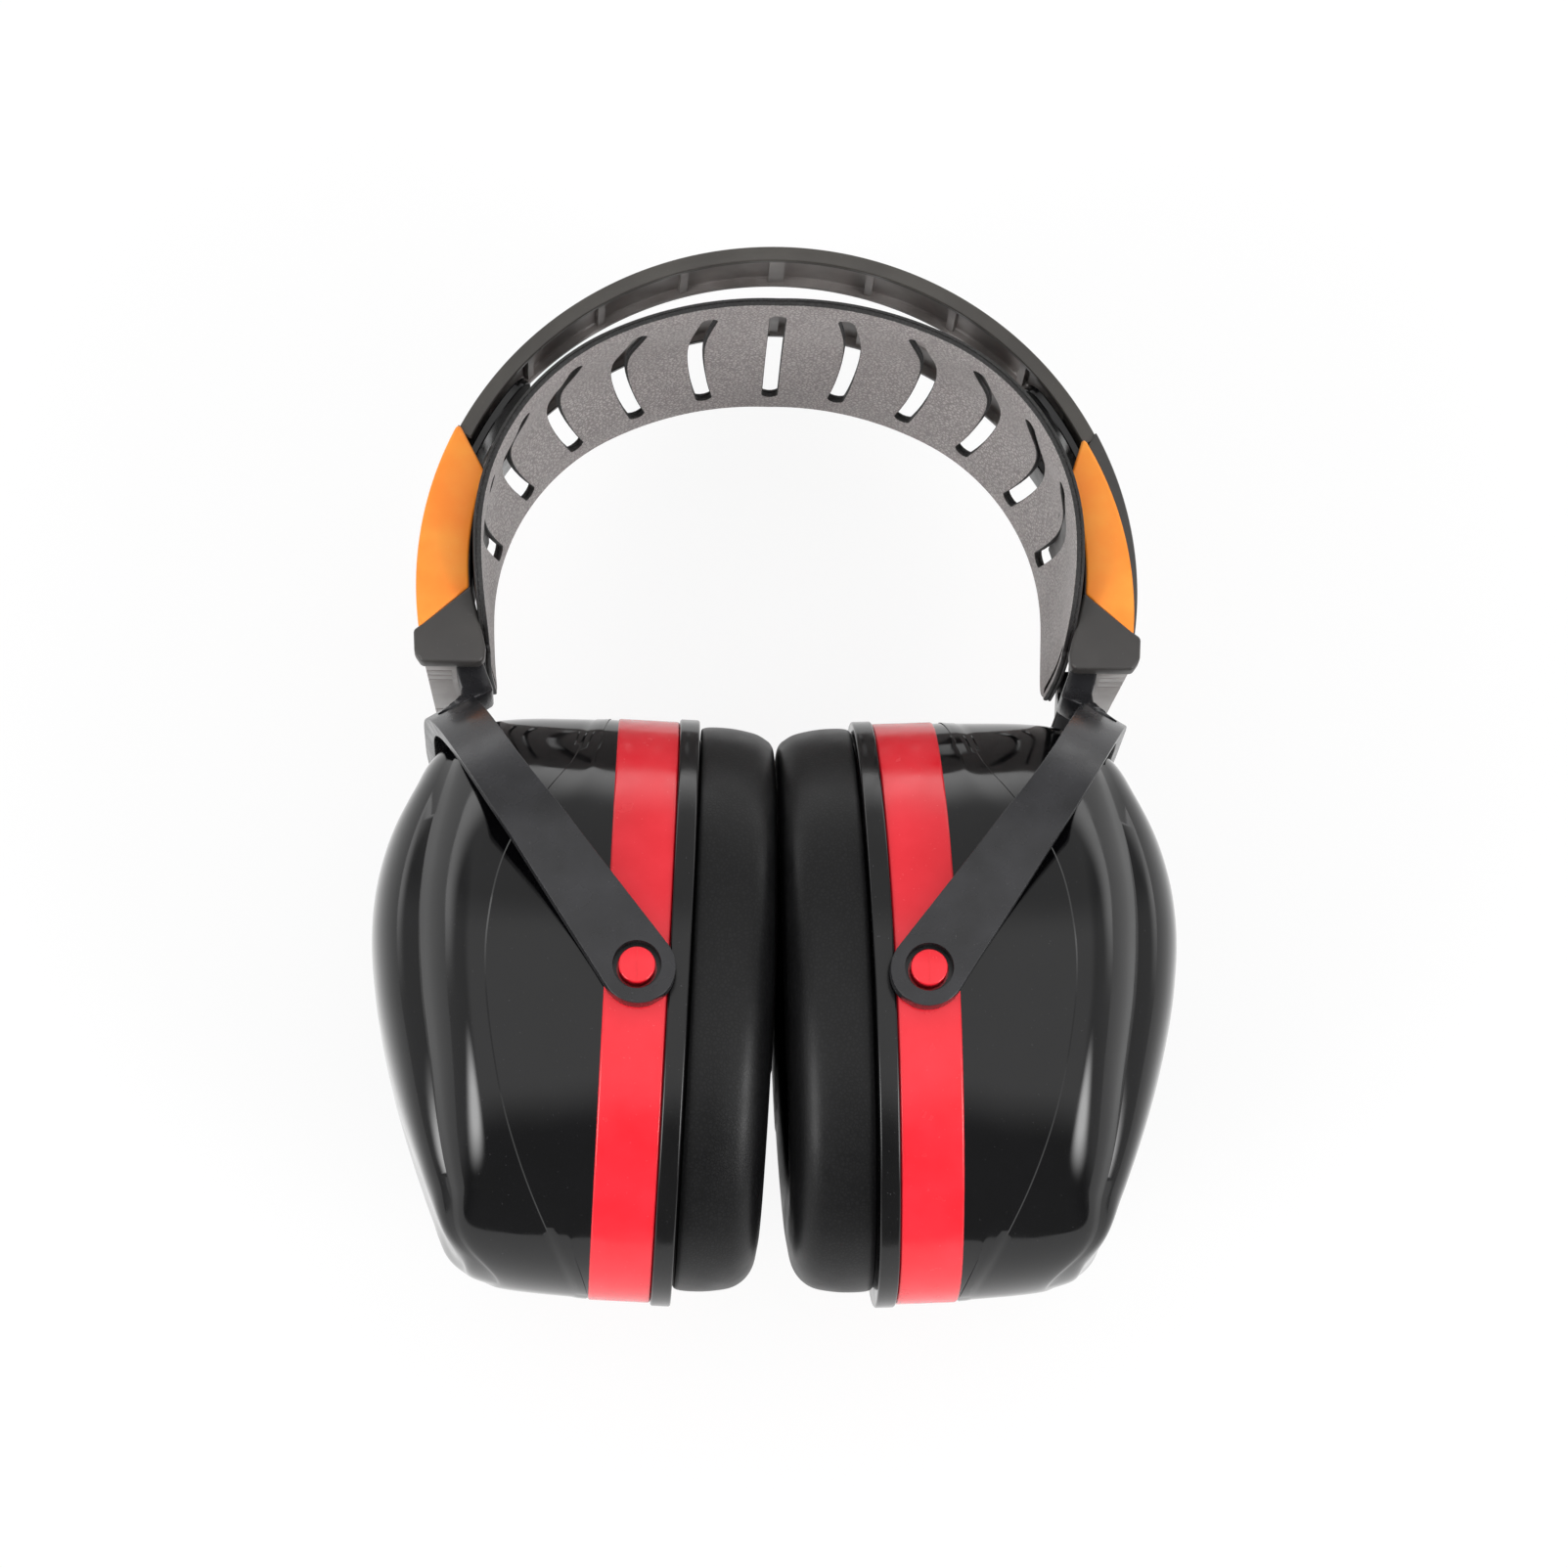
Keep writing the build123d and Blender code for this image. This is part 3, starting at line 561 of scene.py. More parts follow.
def puff(obj):
    """Blows a closed skin up a little as cloth, and keeps each point's move small."""
    rest = points_of(obj)
    cloth = obj.modifiers.new("cloth", "CLOTH")
    cloth.settings.use_pressure = True
    cloth.settings.uniform_pressure_force = 4.0
    cloth.settings.effector_weights.gravity = 0.0
    for number in range(1, 21):
        bpy.context.scene.frame_set(number)
    apply_modifiers(obj)
    bpy.context.scene.frame_set(1)
    moved = points_of(obj) - rest
    length = np.linalg.norm(moved, axis=1)[:, None]
    move_points(obj, rest + moved * np.minimum(1.0, PUFF_LIMIT * MM / np.maximum(length, 1e-9)))


def make_cushions():
    """Both ear cushions: one is puffed, and the other is its mirror image."""
    right = loops_object("cushion_right", cushion_loops(1), LEATHER)
    puff(right)
    modifier = right.modifiers.new("subdivide", "SUBSURF")
    modifier.levels = modifier.render_levels = 1
    apply_modifiers(right)
    points = points_of(right)
    # Where the two cushions would meet, each is pressed flat beside the plane between them.
    near = points[:, 0] / MM - MIDDLE_GAP
    pressed = 0.35 * np.log1p(np.exp(np.minimum((near - 0.15) / 0.35, 30.0)))
    points[:, 0] = MM * (MIDDLE_GAP + np.where(near < 1.2, pressed, near))
    move_points(right, points)
    left = added("cushion_left", right.data.copy())
    move_points(left, points * [-1, 1, 1])
    left.data.flip_normals()
    for name, obj in (("left", left), ("right", right)):
        obj.data.name = obj.name
        obj.data.shade_smooth()
        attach(obj, f"{name}_cup")
        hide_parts(f"cushion_cover_{name}", f"cushion_foam_{name}")


# (out, inset) rows of the foam block, from its far end in the cup to its face in the ear opening.
FOAM_ROWS = [
    (24.0, 12.0), (23.2, 9.2), (20.0, 7.4), (-3.4, 7.4),
    (-4.6, 8.6), (-4.9, 16.0), (-5.1, 24.0), (-5.2, 29.0),
]
FOAM_FAR, FOAM_NEAR = 24.2, -5.25


def make_foam(name, side):
    """Block of acoustic foam that fills the cup, a little crowned in the ear opening."""
    far, near = (np.tile(in_cup(side, out, CUP_LIFT, 0.0), (len(AROUND), 1)) for out in (FOAM_FAR, FOAM_NEAR))
    loops = [far, *oval_loops(side, CUP_OVAL, FOAM_ROWS), near]
    foam = loops_object(f"foam_{name}", loops, FOAM, ends="open", sharp=60)
    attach(foam, f"{name}_cup")
    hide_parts(f"acoustic_foam_{name}")


# ======== yokes ========

# The fork's thickness, and inside it the half depth, the bridge's height and the corners' radius.
ARM_THICKNESS = 3.6
ARM_INNER, FORK_REACH, FORK_CORNER = 41.0, 60.5, 34.0
LEAN = math.atan2(30.8, 51.0)
# The eyes' radius and their drop below the pivots, and the rounding of the fork's edges.
EYE_RADIUS, EYE_DROP, YOKE_ROUND = 6.4, 0.45, 0.9
# Radius and floor of the sink round a pin and of the bore under it.
BORES = ((4.2, EYE_OUTER - 3.1), (3.5, 39.0))
# Along the fork from its pivots: how far its arms swing out from the lean line, and their half width.
ARM_SWAY = [(0, 0.0), (13, 0.85), (26.5, 1.7), (44, 2.4), (56, 1.9), (64.1, 1.3)]
ARM_HALF = [(0, 6.4), (13, 5.8), (26.5, 5.2), (44, 4.5), (56, 4.4), (64.1, 4.4)]
NECK_MIDDLE, NECK_HALF = 14.1, 4.0
# Down the neck: its inner edge (x, y), its outer edge (x, y) and its front.
NECK = [
    (53.0, 24.5, 60.2, 24.5, 18.1), (52.6, 17.6, 59.8, 17.6, 18.1), (52.4, 16.9, 57.3, 17.0, 18.1),
    (51.5, 14.4, 56.8, 14.2, 18.4), (50.7, 12.2, 56.1, 11.8, 19.2), (50.3, 10.9, 56.2, 10.0, 20.4),
    (51.8, 9.9, 57.0, 8.7, 21.6), (53.8, 8.8, 58.4, 7.4, 22.2), (56.6, 7.2, 60.4, 5.8, 22.6),
]


def yoke_place(side, along, across, depth):
    """Row-frame points of the yoke: along its lean, across it towards the head, and depth."""
    x = PIVOT_X + along * math.sin(LEAN) - across * math.cos(LEAN)
    y = PIVOT_Y + along * math.cos(LEAN) + across * math.sin(LEAN)
    return np.stack([side * x, y, MID_Z + depth], -1)


def fork_line(offset):
    """(depth, along) points round the fork from its front eye to its rear one, at an offset outwards."""
    straight, middle, radius = FORK_REACH - FORK_CORNER, ARM_INNER - FORK_CORNER, FORK_CORNER + offset
    half = [(ARM_INNER + offset, along) for along in np.linspace(0.0, straight, 14, endpoint=False)]
    for turn in np.radians(np.linspace(0, 90, 40)):
        half.append((middle + radius * math.cos(turn), straight + radius * math.sin(turn)))
    return np.array(half + [(-depth, along) for depth, along in half[::-1]])


def make_yoke(name, side):
    """Fork over the cup with an eye on each arm and two necks that run up into the housing."""
    turns = np.radians(np.linspace(80, 6, 13))
    eye = [(-EYE_RADIUS * math.sin(turn) - EYE_DROP, EYE_RADIUS * math.cos(turn)) for turn in turns]
    front_eye = [(EYE_OUTER, along, ARM_INNER, along, 0.0, half) for along, half in eye]
    rear_eye = [(-EYE_OUTER, along, -ARM_INNER, along, 0.0, half) for along, half in eye[::-1]]
    outer, inner = fork_line(ARM_THICKNESS), fork_line(0.0)
    up = np.abs(outer[:, 1])
    arms = np.column_stack([outer, inner, spline(ARM_SWAY, up), spline(ARM_HALF, up)])
    rows = np.concatenate([front_eye, arms, rear_eye])
    outer_depth, outer_along, inner_depth, inner_along, sway, half = rows.T
    along = np.stack([outer_along, outer_along, inner_along, inner_along], 1)
    across = np.stack([half - sway, -half - sway, -half - sway, half - sway], 1)
    depth = np.stack([outer_depth, outer_depth, inner_depth, inner_depth], 1)
    fork = loops_object(f"yoke_{name}", yoke_place(side, along, across, depth), YOKE, ends="capped")
    yoke = soften(fork, YOKE_ROUND, 4, 32)
    rear = NECK_MIDDLE - NECK_HALF
    for face in (-1, 1):
        loops = []
        for inner_x, inner_y, outer_x, outer_y, front in NECK:
            inner, outer = (side * inner_x, inner_y), (side * outer_x, outer_y)
            low, high = MID_Z + face * rear, MID_Z + face * front
            loops.append([(*inner, low), (*outer, low), (*outer, high), (*inner, high)])
        cut(yoke, soften(loops_object("neck", loops, ends="capped"), 0.6, 3, 60), "UNION")
    for face in (-1, 1):
        for radius, floor in BORES:
            outline = circle((side * PIVOT_X, PIVOT_Y), radius)
            cut(yoke, slab("bore", outline, face * floor, face * (EYE_OUTER + 2)))
    finish_mesh(yoke, 40)
    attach(yoke, f"{name}_yoke")
    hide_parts(f"yoke_{name}")


# ======== band, housings, inserts and sliders ========

HOUSING_OUTER, HOUSING_HALF = 64.3, 20.9
# The housing's inside is an arc with a centre of its own, so far out from and above the arch's.
INSIDE_RADIUS, INSIDE_SHIFT, INSIDE_RISE = 53.9, 1.0, 3.0
# Angles on its outer and inner arc where it starts, and where it ends at the back and on the front.
HOUSING_TOP, REAR_FOOT, FRONT_FOOT = (27.0, 18.4), (-3.8, -1.6), (-8.3, -4.7)
CHEEK_STEPS = 24
# The housing's black foot, from the outer end of the coloured cheek's lower edge round to its inner end.
FOOT = [
    (62.9, 23.0), (64.7, 21.7), (64.5, 17.6), (63.2, 15.7),
    (52.9, 15.7), (52.0, 16.5), (51.9, 18.7), (54.6, 30.0),
]
FOOT_FACE, FOOT_PLATE = HOUSING_HALF + 0.5, 3.6
# The smoky guide behind the foot, at the foot and at the far face.
GUIDE_FRONT = [(63.9, 27.5), (63.7, 21.7), (62.6, 15.9), (53.3, 15.9), (52.4, 18.7), (54.8, 30.0)]
GUIDE_REAR = [(63.2, 27.5), (62.3, 21.7), (61.0, 16.3), (56.4, 16.3), (55.4, 18.9), (56.0, 30.0)]
# Grooves round the guide's lower edge: their outline, their depths and their half width.
GROOVE = [(58.0, 15.0), (64.0, 15.0), (64.0, 18.5), (62.4, 18.5), (61.6, 16.4), (58.0, 16.4)]
GROOVE_DEPTHS, GROOVE_HALF = (-14.5, -11.0, 9.0, 12.0, 15.0), 0.25


def on_side(side, outline):
    return [(side * x, y) for x, y in outline]


def cheek_outline(side, reach, top, foot, inset=0.0):
    """Outline between an arc about the arch's centre, of one reach or many, and the housing's inside."""
    reaches = np.broadcast_to(reach, CHEEK_STEPS)
    angles = np.linspace(top[0], foot[0], CHEEK_STEPS)
    outline = [outside_point(side, radius, angle) for radius, angle in zip(reaches, angles)]
    radius = INSIDE_RADIUS + inset
    for turn in np.radians(np.linspace(foot[1], top[1], CHEEK_STEPS)):
        x = side * (INSIDE_SHIFT + radius * math.cos(turn))
        outline.append((x, ARCH_Y + INSIDE_RISE + radius * math.sin(turn)))
    return outline


def make_housing(name, side):
    """Guide housing at the band's end: a curved block, its black foot, and the smoky guide behind it."""
    outline = cheek_outline(side, HOUSING_OUTER, HOUSING_TOP, REAR_FOOT)
    body = slab(f"housing_{name}", outline, -HOUSING_HALF, HOUSING_HALF, HOUSING)
    # The front reaches lower than the body, and is a hair smaller so that no two faces coincide.
    outline = cheek_outline(side, HOUSING_OUTER - 0.03, (0.0, 2.0), FRONT_FOOT)
    front = slab("front", outline, HOUSING_HALF - 6.0, HOUSING_HALF - 0.03, HOUSING)
    foot = slab("foot", on_side(side, FOOT), FOOT_FACE - FOOT_PLATE, FOOT_FACE, HOUSING)
    rear, front_outline = on_side(side, GUIDE_REAR), on_side(side, GUIDE_FRONT)
    guide = slab("guide", rear, -FOOT_FACE, FOOT_FACE - FOOT_PLATE + 0.2, GUIDE, front_outline=front_outline)
    for depth in GROOVE_DEPTHS:
        cut(guide, slab("groove", on_side(side, GROOVE), depth - GROOVE_HALF, depth + GROOVE_HALF))
    parts = []
    for part, width, segments in ((body, 0.4, 3), (front, 0.4, 3), (foot, 1.0, 4), (guide, 0.5, 3)):
        parts.append(finish_mesh(soften(part, width, segments, 30), 40))
    housing = joined(f"housing_{name}", parts)
    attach(housing, f"{name}_frame")
    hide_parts(f"side_housing_{name}")


# How far the cheeks stand proud of the housing, their thickness, and how much of their tip is cut.
INSERT_PROUD, INSERT_THICKNESS, TIP_CUT = 0.25, 1.6, 1.2
# Width of the black rim beside a cheek, at its top and at its foot.
RIM_TOP, RIM_FOOT = 2.5, 0.2


def blunted(outline):
    """The outline with its first point, a sharp tip, cut off and rounded."""
    tip, before, after = (np.array(outline[place]) for place in (0, -1, 1))
    back, on = unit(before - tip), unit(after - tip)
    return [tip + TIP_CUT * back, tip + 0.25 * TIP_CUT * (back + on), tip + TIP_CUT * on] + outline[1:]


def make_insert(name, side):
    """Coloured cheeks: one wide to the housing's edge, one with a black rim, changed over at the back."""
    rimmed = HOUSING_OUTER - np.linspace(RIM_TOP, RIM_FOOT, CHEEK_STEPS)
    cheeks = []
    for face, reach in ((side, rimmed), (-side, HOUSING_OUTER + 0.15)):
        depth = face * (HOUSING_HALF + INSERT_PROUD)
        foot = FRONT_FOOT if face > 0 else REAR_FOOT
        outline = blunted(cheek_outline(side, reach, (27.2, 18.2), foot, 0.2))
        cheek = slab("cheek", outline, depth, depth - face * INSERT_THICKNESS, ORANGE)
        cheeks.append(finish_mesh(soften(cheek, 0.45, 3, 40), 40))
    insert = joined(f"insert_{name}", cheeks)
    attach(insert, f"{name}_frame")
    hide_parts(f"housing_insert_{name}")


# The rails' two sides, the ends of their lips and their wall, and the ribs' pitch and width in degrees.
RAIL_LOW, RAIL_HIGH, RAIL_INNER, RAIL_SKIN = 6.6, 20.5, 61.2, 1.2
RIB_PITCH, RIB_WIDTH = 15.2, 1.3
CHANNEL_RADIUS = BAND_RADIUS - RAIL_SKIN
# (radius, distance from the rail's side) from its back round a lip to the floor of its channel.
RAIL_HALF = [
    (BAND_RADIUS, 0.4), (BAND_RADIUS - 0.12, 0.12), (BAND_RADIUS - 0.4, 0.0), (RAIL_INNER + 0.2, 0.0),
    (RAIL_INNER, 0.2), (RAIL_INNER, RAIL_SKIN - 0.2), (RAIL_INNER + 0.2, RAIL_SKIN),
    (CHANNEL_RADIUS - 0.3, RAIL_SKIN), (CHANNEL_RADIUS, RAIL_SKIN + 0.3),
]
# (radius, depth) of a rib's corners, a little inside the rail's walls.
RIB_LOW, RIB_HIGH = RAIL_LOW + RAIL_SKIN - 0.1, RAIL_HIGH - RAIL_SKIN + 0.1
RIB = [
    (CHANNEL_RADIUS + 0.1, RIB_LOW), (CHANNEL_RADIUS + 0.1, RIB_HIGH),
    (RAIL_INNER + 0.5, RIB_HIGH), (RAIL_INNER + 0.5, RIB_LOW),
]
# Angles of the tie plate's ends.
TIE_TOP, TIE_FOOT = 33.0, 26.5


def make_rails(name, side):
    """Half of the band: two channel rails with cross ribs, tied by a plate above the housing."""
    profile = [(radius, RAIL_HIGH - inset) for radius, inset in RAIL_HALF]
    profile += [(radius, RAIL_LOW + inset) for radius, inset in RAIL_HALF[::-1]]
    parts = []
    for face in (-1, 1):
        loops = []
        for angle in np.linspace(26.0, 90.0, 97):
            loops.append([on_arch(side, radius, angle, face * depth) for radius, depth in profile])
        rail = loops_object("rail", loops, RAIL, CHANNEL_PAINTED_LIGHT, ends="open", sharp=38)
        # Faces inside the channel take the paler channel grey, which carries painted light for the shade in
        # the channel.
        for polygon in rail.data.polygons:
            centre = polygon.center
            radius = math.hypot(centre.x / MM, centre.y / MM - ARCH_Y)
            depth = abs(centre.z / MM - MID_Z)
            if radius < CHANNEL_RADIUS + 0.05 and RAIL_LOW - 0.1 < depth < RIB_HIGH:
                polygon.material_index = 1
        parts.append(rail)
        # The cross ribs take the same paler grey, with its painted light.
        for angle in np.arange(90.0, 35.0, -RIB_PITCH):
            ends = (angle, angle - RIB_WIDTH)
            loops = [[on_arch(side, radius, end, face * depth) for radius, depth in RIB] for end in ends]
            parts.append(loops_object("rib", loops, CHANNEL_PAINTED_LIGHT, ends="capped"))
    tie = [outside_point(side, BAND_RADIUS - 0.5, angle) for angle in np.linspace(TIE_TOP, TIE_FOOT, 12)]
    tie += [outside_point(side, RAIL_INNER + 0.3, angle) for angle in np.linspace(TIE_FOOT, TIE_TOP, 12)]
    plate = slab("tie", tie, 0.8 - RAIL_HIGH, RAIL_HIGH - 0.8, RAIL)
    parts.append(finish_mesh(soften(plate, 0.3, 2, 40), 40))
    band = joined(f"band_{name}", parts)
    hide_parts(f"outer_band_{name}")
    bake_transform(band)


TONGUE_RADIUS, TONGUE_THICKNESS, TONGUE_WIDTH = 59.1, 1.5, 9.4
# Angles of the straps' tips and roots, and the length over which a tip is rounded.
TONGUE_TIP, TONGUE_ROOT, TIP_LENGTH = 41.0, -13.4, 4.0


def make_tongues(name, side):
    """Two thin straps that run from the yoke's necks up through the housing and under the rails."""
    tip_turn = math.degrees(TIP_LENGTH / TONGUE_RADIUS)
    rounding = tip_turn * (1 - np.sin(np.radians([15, 30, 45, 60, 75, 88])))
    angles = np.concatenate([np.linspace(TONGUE_ROOT, TONGUE_TIP - tip_turn, 60), TONGUE_TIP - rounding])
    inner, outer = TONGUE_RADIUS, TONGUE_RADIUS + TONGUE_THICKNESS
    straps = []
    for face in (-1, 1):
        loops = []
        for angle in angles:
            past = max(0.0, (angle - TONGUE_TIP + tip_turn) / tip_turn)
            half = TONGUE_WIDTH / 2 - TIP_LENGTH * (1 - math.sqrt(max(0.0, 1 - past * past)))
            corners = [
                (inner, -half + 0.2), (inner, half - 0.2), (inner + 0.2, half), (outer - 0.2, half),
                (outer, half - 0.2), (outer, -half + 0.2), (outer - 0.2, -half), (inner + 0.2, -half),
            ]
            loops.append([on_arch(side, radius, angle, face * NECK_MIDDLE + z) for radius, z in corners])
        straps.append(loops_object("strap", loops, STRAP, ends="capped", sharp=40))
    tongues = joined(f"slider_straps_{name}", straps)
    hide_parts(f"slider_tongues_{name}")
    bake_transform(tongues)


# ======== head pad ========

# The pad's outside line: half width, crown and foot, and the radii of its top, shoulders and sides.
PAD_HALF_WIDTH, PAD_CROWN_Y, PAD_FOOT_Y = 53.0, CROWN_Y - 12.4, ARCH_Y - 10.5
TOP_RADIUS, SHOULDER_RADIUS, SIDE_RADIUS = 66.0, 42.0, 110.0
# Where its arcs meet: their centres, a turn, and runs from the crown.
SHOULDER_X, TOP_Y = PAD_HALF_WIDTH - SHOULDER_RADIUS, PAD_CROWN_Y - TOP_RADIUS
SPRING_Y = TOP_Y + math.sqrt((TOP_RADIUS - SHOULDER_RADIUS) ** 2 - SHOULDER_X**2)
SHOULDER_TURN = math.atan2(SHOULDER_X, SPRING_Y - TOP_Y)
TOP_RUN = TOP_RADIUS * SHOULDER_TURN
SPRING_RUN = TOP_RUN + SHOULDER_RADIUS * (math.pi / 2 - SHOULDER_TURN)
FOOT_RUN = SPRING_RUN + SIDE_RADIUS * math.asin((SPRING_Y - PAD_FOOT_Y) / SIDE_RADIUS)
# Each arc's centre (x, y), radius, first run and first turn.
PAD_ARCS = np.array([
    (0.0, TOP_Y, TOP_RADIUS, 0.0, 0.0),
    (SHOULDER_X, SPRING_Y, SHOULDER_RADIUS, TOP_RUN, SHOULDER_TURN),
    (PAD_HALF_WIDTH - SIDE_RADIUS, SPRING_Y, SIDE_RADIUS, SPRING_RUN, math.pi / 2),
])
# Heights over that line: the face towards the head, the seam between the two sheets, and the back.
PAD_FACE, PAD_SEAM, PAD_BACK = -1.8, -0.9, -0.3
PAD_HALF_DEPTH, PAD_CORNER, SHEET_ROUND = 28.0, 15.0, 0.3
# Each half is made this much too long and cut at the middle.
PAD_SPARE = 20.0
# Cells that the sheet is cut into before it is bent.
CELL_ALONG, CELL_ACROSS = 1.5, 2.0
# The dome across the sheet: its rise at the crown, more at the shoulders, and its half depth.
DOME_CROWN, DOME_SHOULDER, DOME_HALF_DEPTH = 0.5, 2.6, 24.0
# Its lift towards the sides, and how far it leans to the front there.
SIDE_LIFT, SIDE_LEAN = 1.5, 0.03
# Slots across the pad: width, and run, length and bow of each.
SLOT_WIDTH = 2.9
SLOTS = [
    (0.0, 44.0, 0.0), (12.5, 44.0, 1.9), (25.7, 44.0, 3.0), (38.9, 44.0, 3.3),
    (52.1, 44.0, 3.3), (65.6, 44.0, 2.6), (94.5, 30.0, 0.0),
]


def pad_line(run):
    """Points of the pad's outside line at runs from the crown, and the directions out of it."""
    run = np.abs(run)
    arcs = np.searchsorted([TOP_RUN, SPRING_RUN], run, side="right")
    x, y, radius, start_run, start_turn = PAD_ARCS[arcs].T
    turn = start_turn + (run - start_run) / radius
    out = np.stack([np.sin(turn), np.cos(turn)], -1)
    return np.stack([x, y], -1) + radius[:, None] * out, out


def rounded_outline(low, high, radius, steps):
    """Outline of a rectangle with rounded corners, between two (x, y) corners."""
    left, bottom, right, top = low[0] + radius, low[1] + radius, high[0] - radius, high[1] - radius
    points = []
    for corner, (x, y) in enumerate(((right, top), (left, top), (left, bottom), (right, bottom))):
        for turn in np.radians(np.linspace(90 * corner, 90 * corner + 90, steps + 1)):
            points.append((x + radius * math.cos(turn), y + radius * math.sin(turn)))
    return points


def slot_outline(run, length, bow):
    """Outline of a slot across the pad, bowed along it in the middle, with rounded ends."""
    half = SLOT_WIDTH / 2
    depths = np.linspace(-length / 2 + half, length / 2 - half, 14)
    middle = run + bow * (1 - (2 * depths / length) ** 2)
    turns = np.radians(np.linspace(15, 165, 6))
    near = [(middle[-1] + half * math.cos(turn), depths[-1] + half * math.sin(turn)) for turn in turns]
    far = [(middle[0] - half * math.cos(turn), depths[0] - half * math.sin(turn)) for turn in turns]
    right, left = list(zip(middle + half, depths)), list(zip(middle - half, depths))
    return right + near + left[::-1] + far


def flat_sheet(outlines, thickness):
    """Flat filled shape with holes, its edges rounded, as a mesh in its own plane."""
    curve = bpy.data.curves.new("flat", "CURVE")
    curve.dimensions = "2D"
    curve.fill_mode = "BOTH"
    curve.extrude = (thickness / 2 - SHEET_ROUND) * MM
    curve.bevel_depth = SHEET_ROUND * MM
    curve.bevel_resolution = 2
    curve.offset = -SHEET_ROUND * MM
    for outline in outlines:
        line = curve.splines.new("POLY")
        line.points.add(len(outline) - 1)
        line.use_cyclic_u = True
        for point, (x, y) in zip(line.points, outline):
            point.co = (x * MM, y * MM, 0, 1)
    holder = added("flat", curve)
    mesh = evaluated_mesh(holder)
    bpy.data.objects.remove(holder)
    bpy.data.curves.remove(curve)
    return mesh


def cut_cells(shape):
    """Cuts a flat sheet fine enough to bend, and off at the middle of the pad."""
    planes = [((0, 0, 0), (1, 0, 0))]
    planes += [((run * MM, 0, 0), (1, 0, 0)) for run in np.arange(CELL_ALONG, FOOT_RUN, CELL_ALONG)]
    planes += [((0, depth * MM, 0), (0, 1, 0)) for depth in np.arange(-26.0, 26.1, CELL_ACROSS)]
    for number, (place, normal) in enumerate(planes):
        geometry = shape.verts[:] + shape.edges[:] + shape.faces[:]
        bmesh.ops.bisect_plane(shape, geom=geometry, plane_co=place, plane_no=normal, clear_inner=number == 0)


def bent_sheet(name, side, low, high):
    """One layer of the pad's half: a flat sheet with its slots, cut fine and bent to the pad's dome."""
    sheet = rounded_outline((-PAD_SPARE, -PAD_HALF_DEPTH), (FOOT_RUN, PAD_HALF_DEPTH), PAD_CORNER, 10)
    mesh = flat_sheet([sheet] + [slot_outline(*slot) for slot in SLOTS], high - low)
    shape = bmesh.new()
    shape.from_mesh(mesh)
    bpy.data.meshes.remove(mesh)
    bmesh.ops.remove_doubles(shape, verts=shape.verts, dist=0.01 * MM)
    for face in shape.faces:
        face.material_index = int(abs(face.normal.z) < 0.9)
    cut_cells(shape)
    co = np.array([vert.co for vert in shape.verts]) / MM
    line, out = pad_line(co[:, 0])
    turn = np.minimum(np.arctan2(line[:, 0], line[:, 1] - ARCH_Y), math.pi / 2)
    across = np.minimum(np.abs(co[:, 1]), DOME_HALF_DEPTH) / DOME_HALF_DEPTH
    dome = (DOME_CROWN + DOME_SHOULDER * np.sin(2 * turn)) * (0.5 + 0.5 * np.cos(math.pi * across))
    lean = SIDE_LEAN * (co[:, 1] - DOME_HALF_DEPTH) * np.sin(turn) ** 2
    height = co[:, 2] + (low + high) / 2 + dome + SIDE_LIFT * np.sin(turn) + lean
    place = line + out * height[:, None]
    final = np.stack([side * place[:, 0], place[:, 1], MID_Z + co[:, 1]], 1)
    for vert, point in zip(shape.verts, final):
        vert.co = Vector(point * MM)
    mesh = bpy.data.meshes.new(name)
    shape.to_mesh(mesh)
    shape.free()
    mesh.materials.append(PAD)
    mesh.materials.append(PAD_EDGE)
    return finish_mesh(added(name, mesh), 50)


def make_pad(name, side):
    """Half of the head pad: a grained grey sheet towards the head, backed by a black one."""
    inner = bent_sheet(f"pad_{name}", side, PAD_FACE, PAD_SEAM)
    backing = bent_sheet("backing", side, PAD_SEAM, PAD_BACK)
    for polygon in backing.data.polygons:
        polygon.material_index = 1
    pad = joined(f"pad_{name}", [inner, backing])
    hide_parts(f"pad_end_{name}")
    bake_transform(pad)
    return pad


# ======== the whole object ========

MAKERS = (
    make_shell, make_ring, make_flange, make_foam, make_yoke,
    make_housing, make_insert, make_rails, make_tongues,
)
for side_name, side_sign in SIDES.items():
    for make_piece in MAKERS:
        make_piece(side_name, side_sign)
    make_pad(side_name, side_sign)
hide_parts("head_pad")
make_cushions()


# ======== floor, light and camera ========

# Share of plain white in the table top where it is seen or mirrored, and its half width, out to the horizon.
FLOOR_WHITE, FLOOR_HALF = 0.88, 30000
# Strength of the sky over the object, below the cups' feet, at the horizon past the crown and in the glows.
CEILING, DIM, HORIZON, GLOW = 1.1, 0.25, 1.8, 9.0
# Middle and size of the glow on each side: sideways, crownward and upward parts of a direction.
GLOW_WAY, GLOW_SIZE = (0.69, -0.5, 0.5), (0.25, 0.48, 0.34)
CAMERA_PLACE = Vector((-0.0362, -0.2533, 0.9868))
CAMERA_AIM = Vector((0.0019, -0.0003, 0.0446))


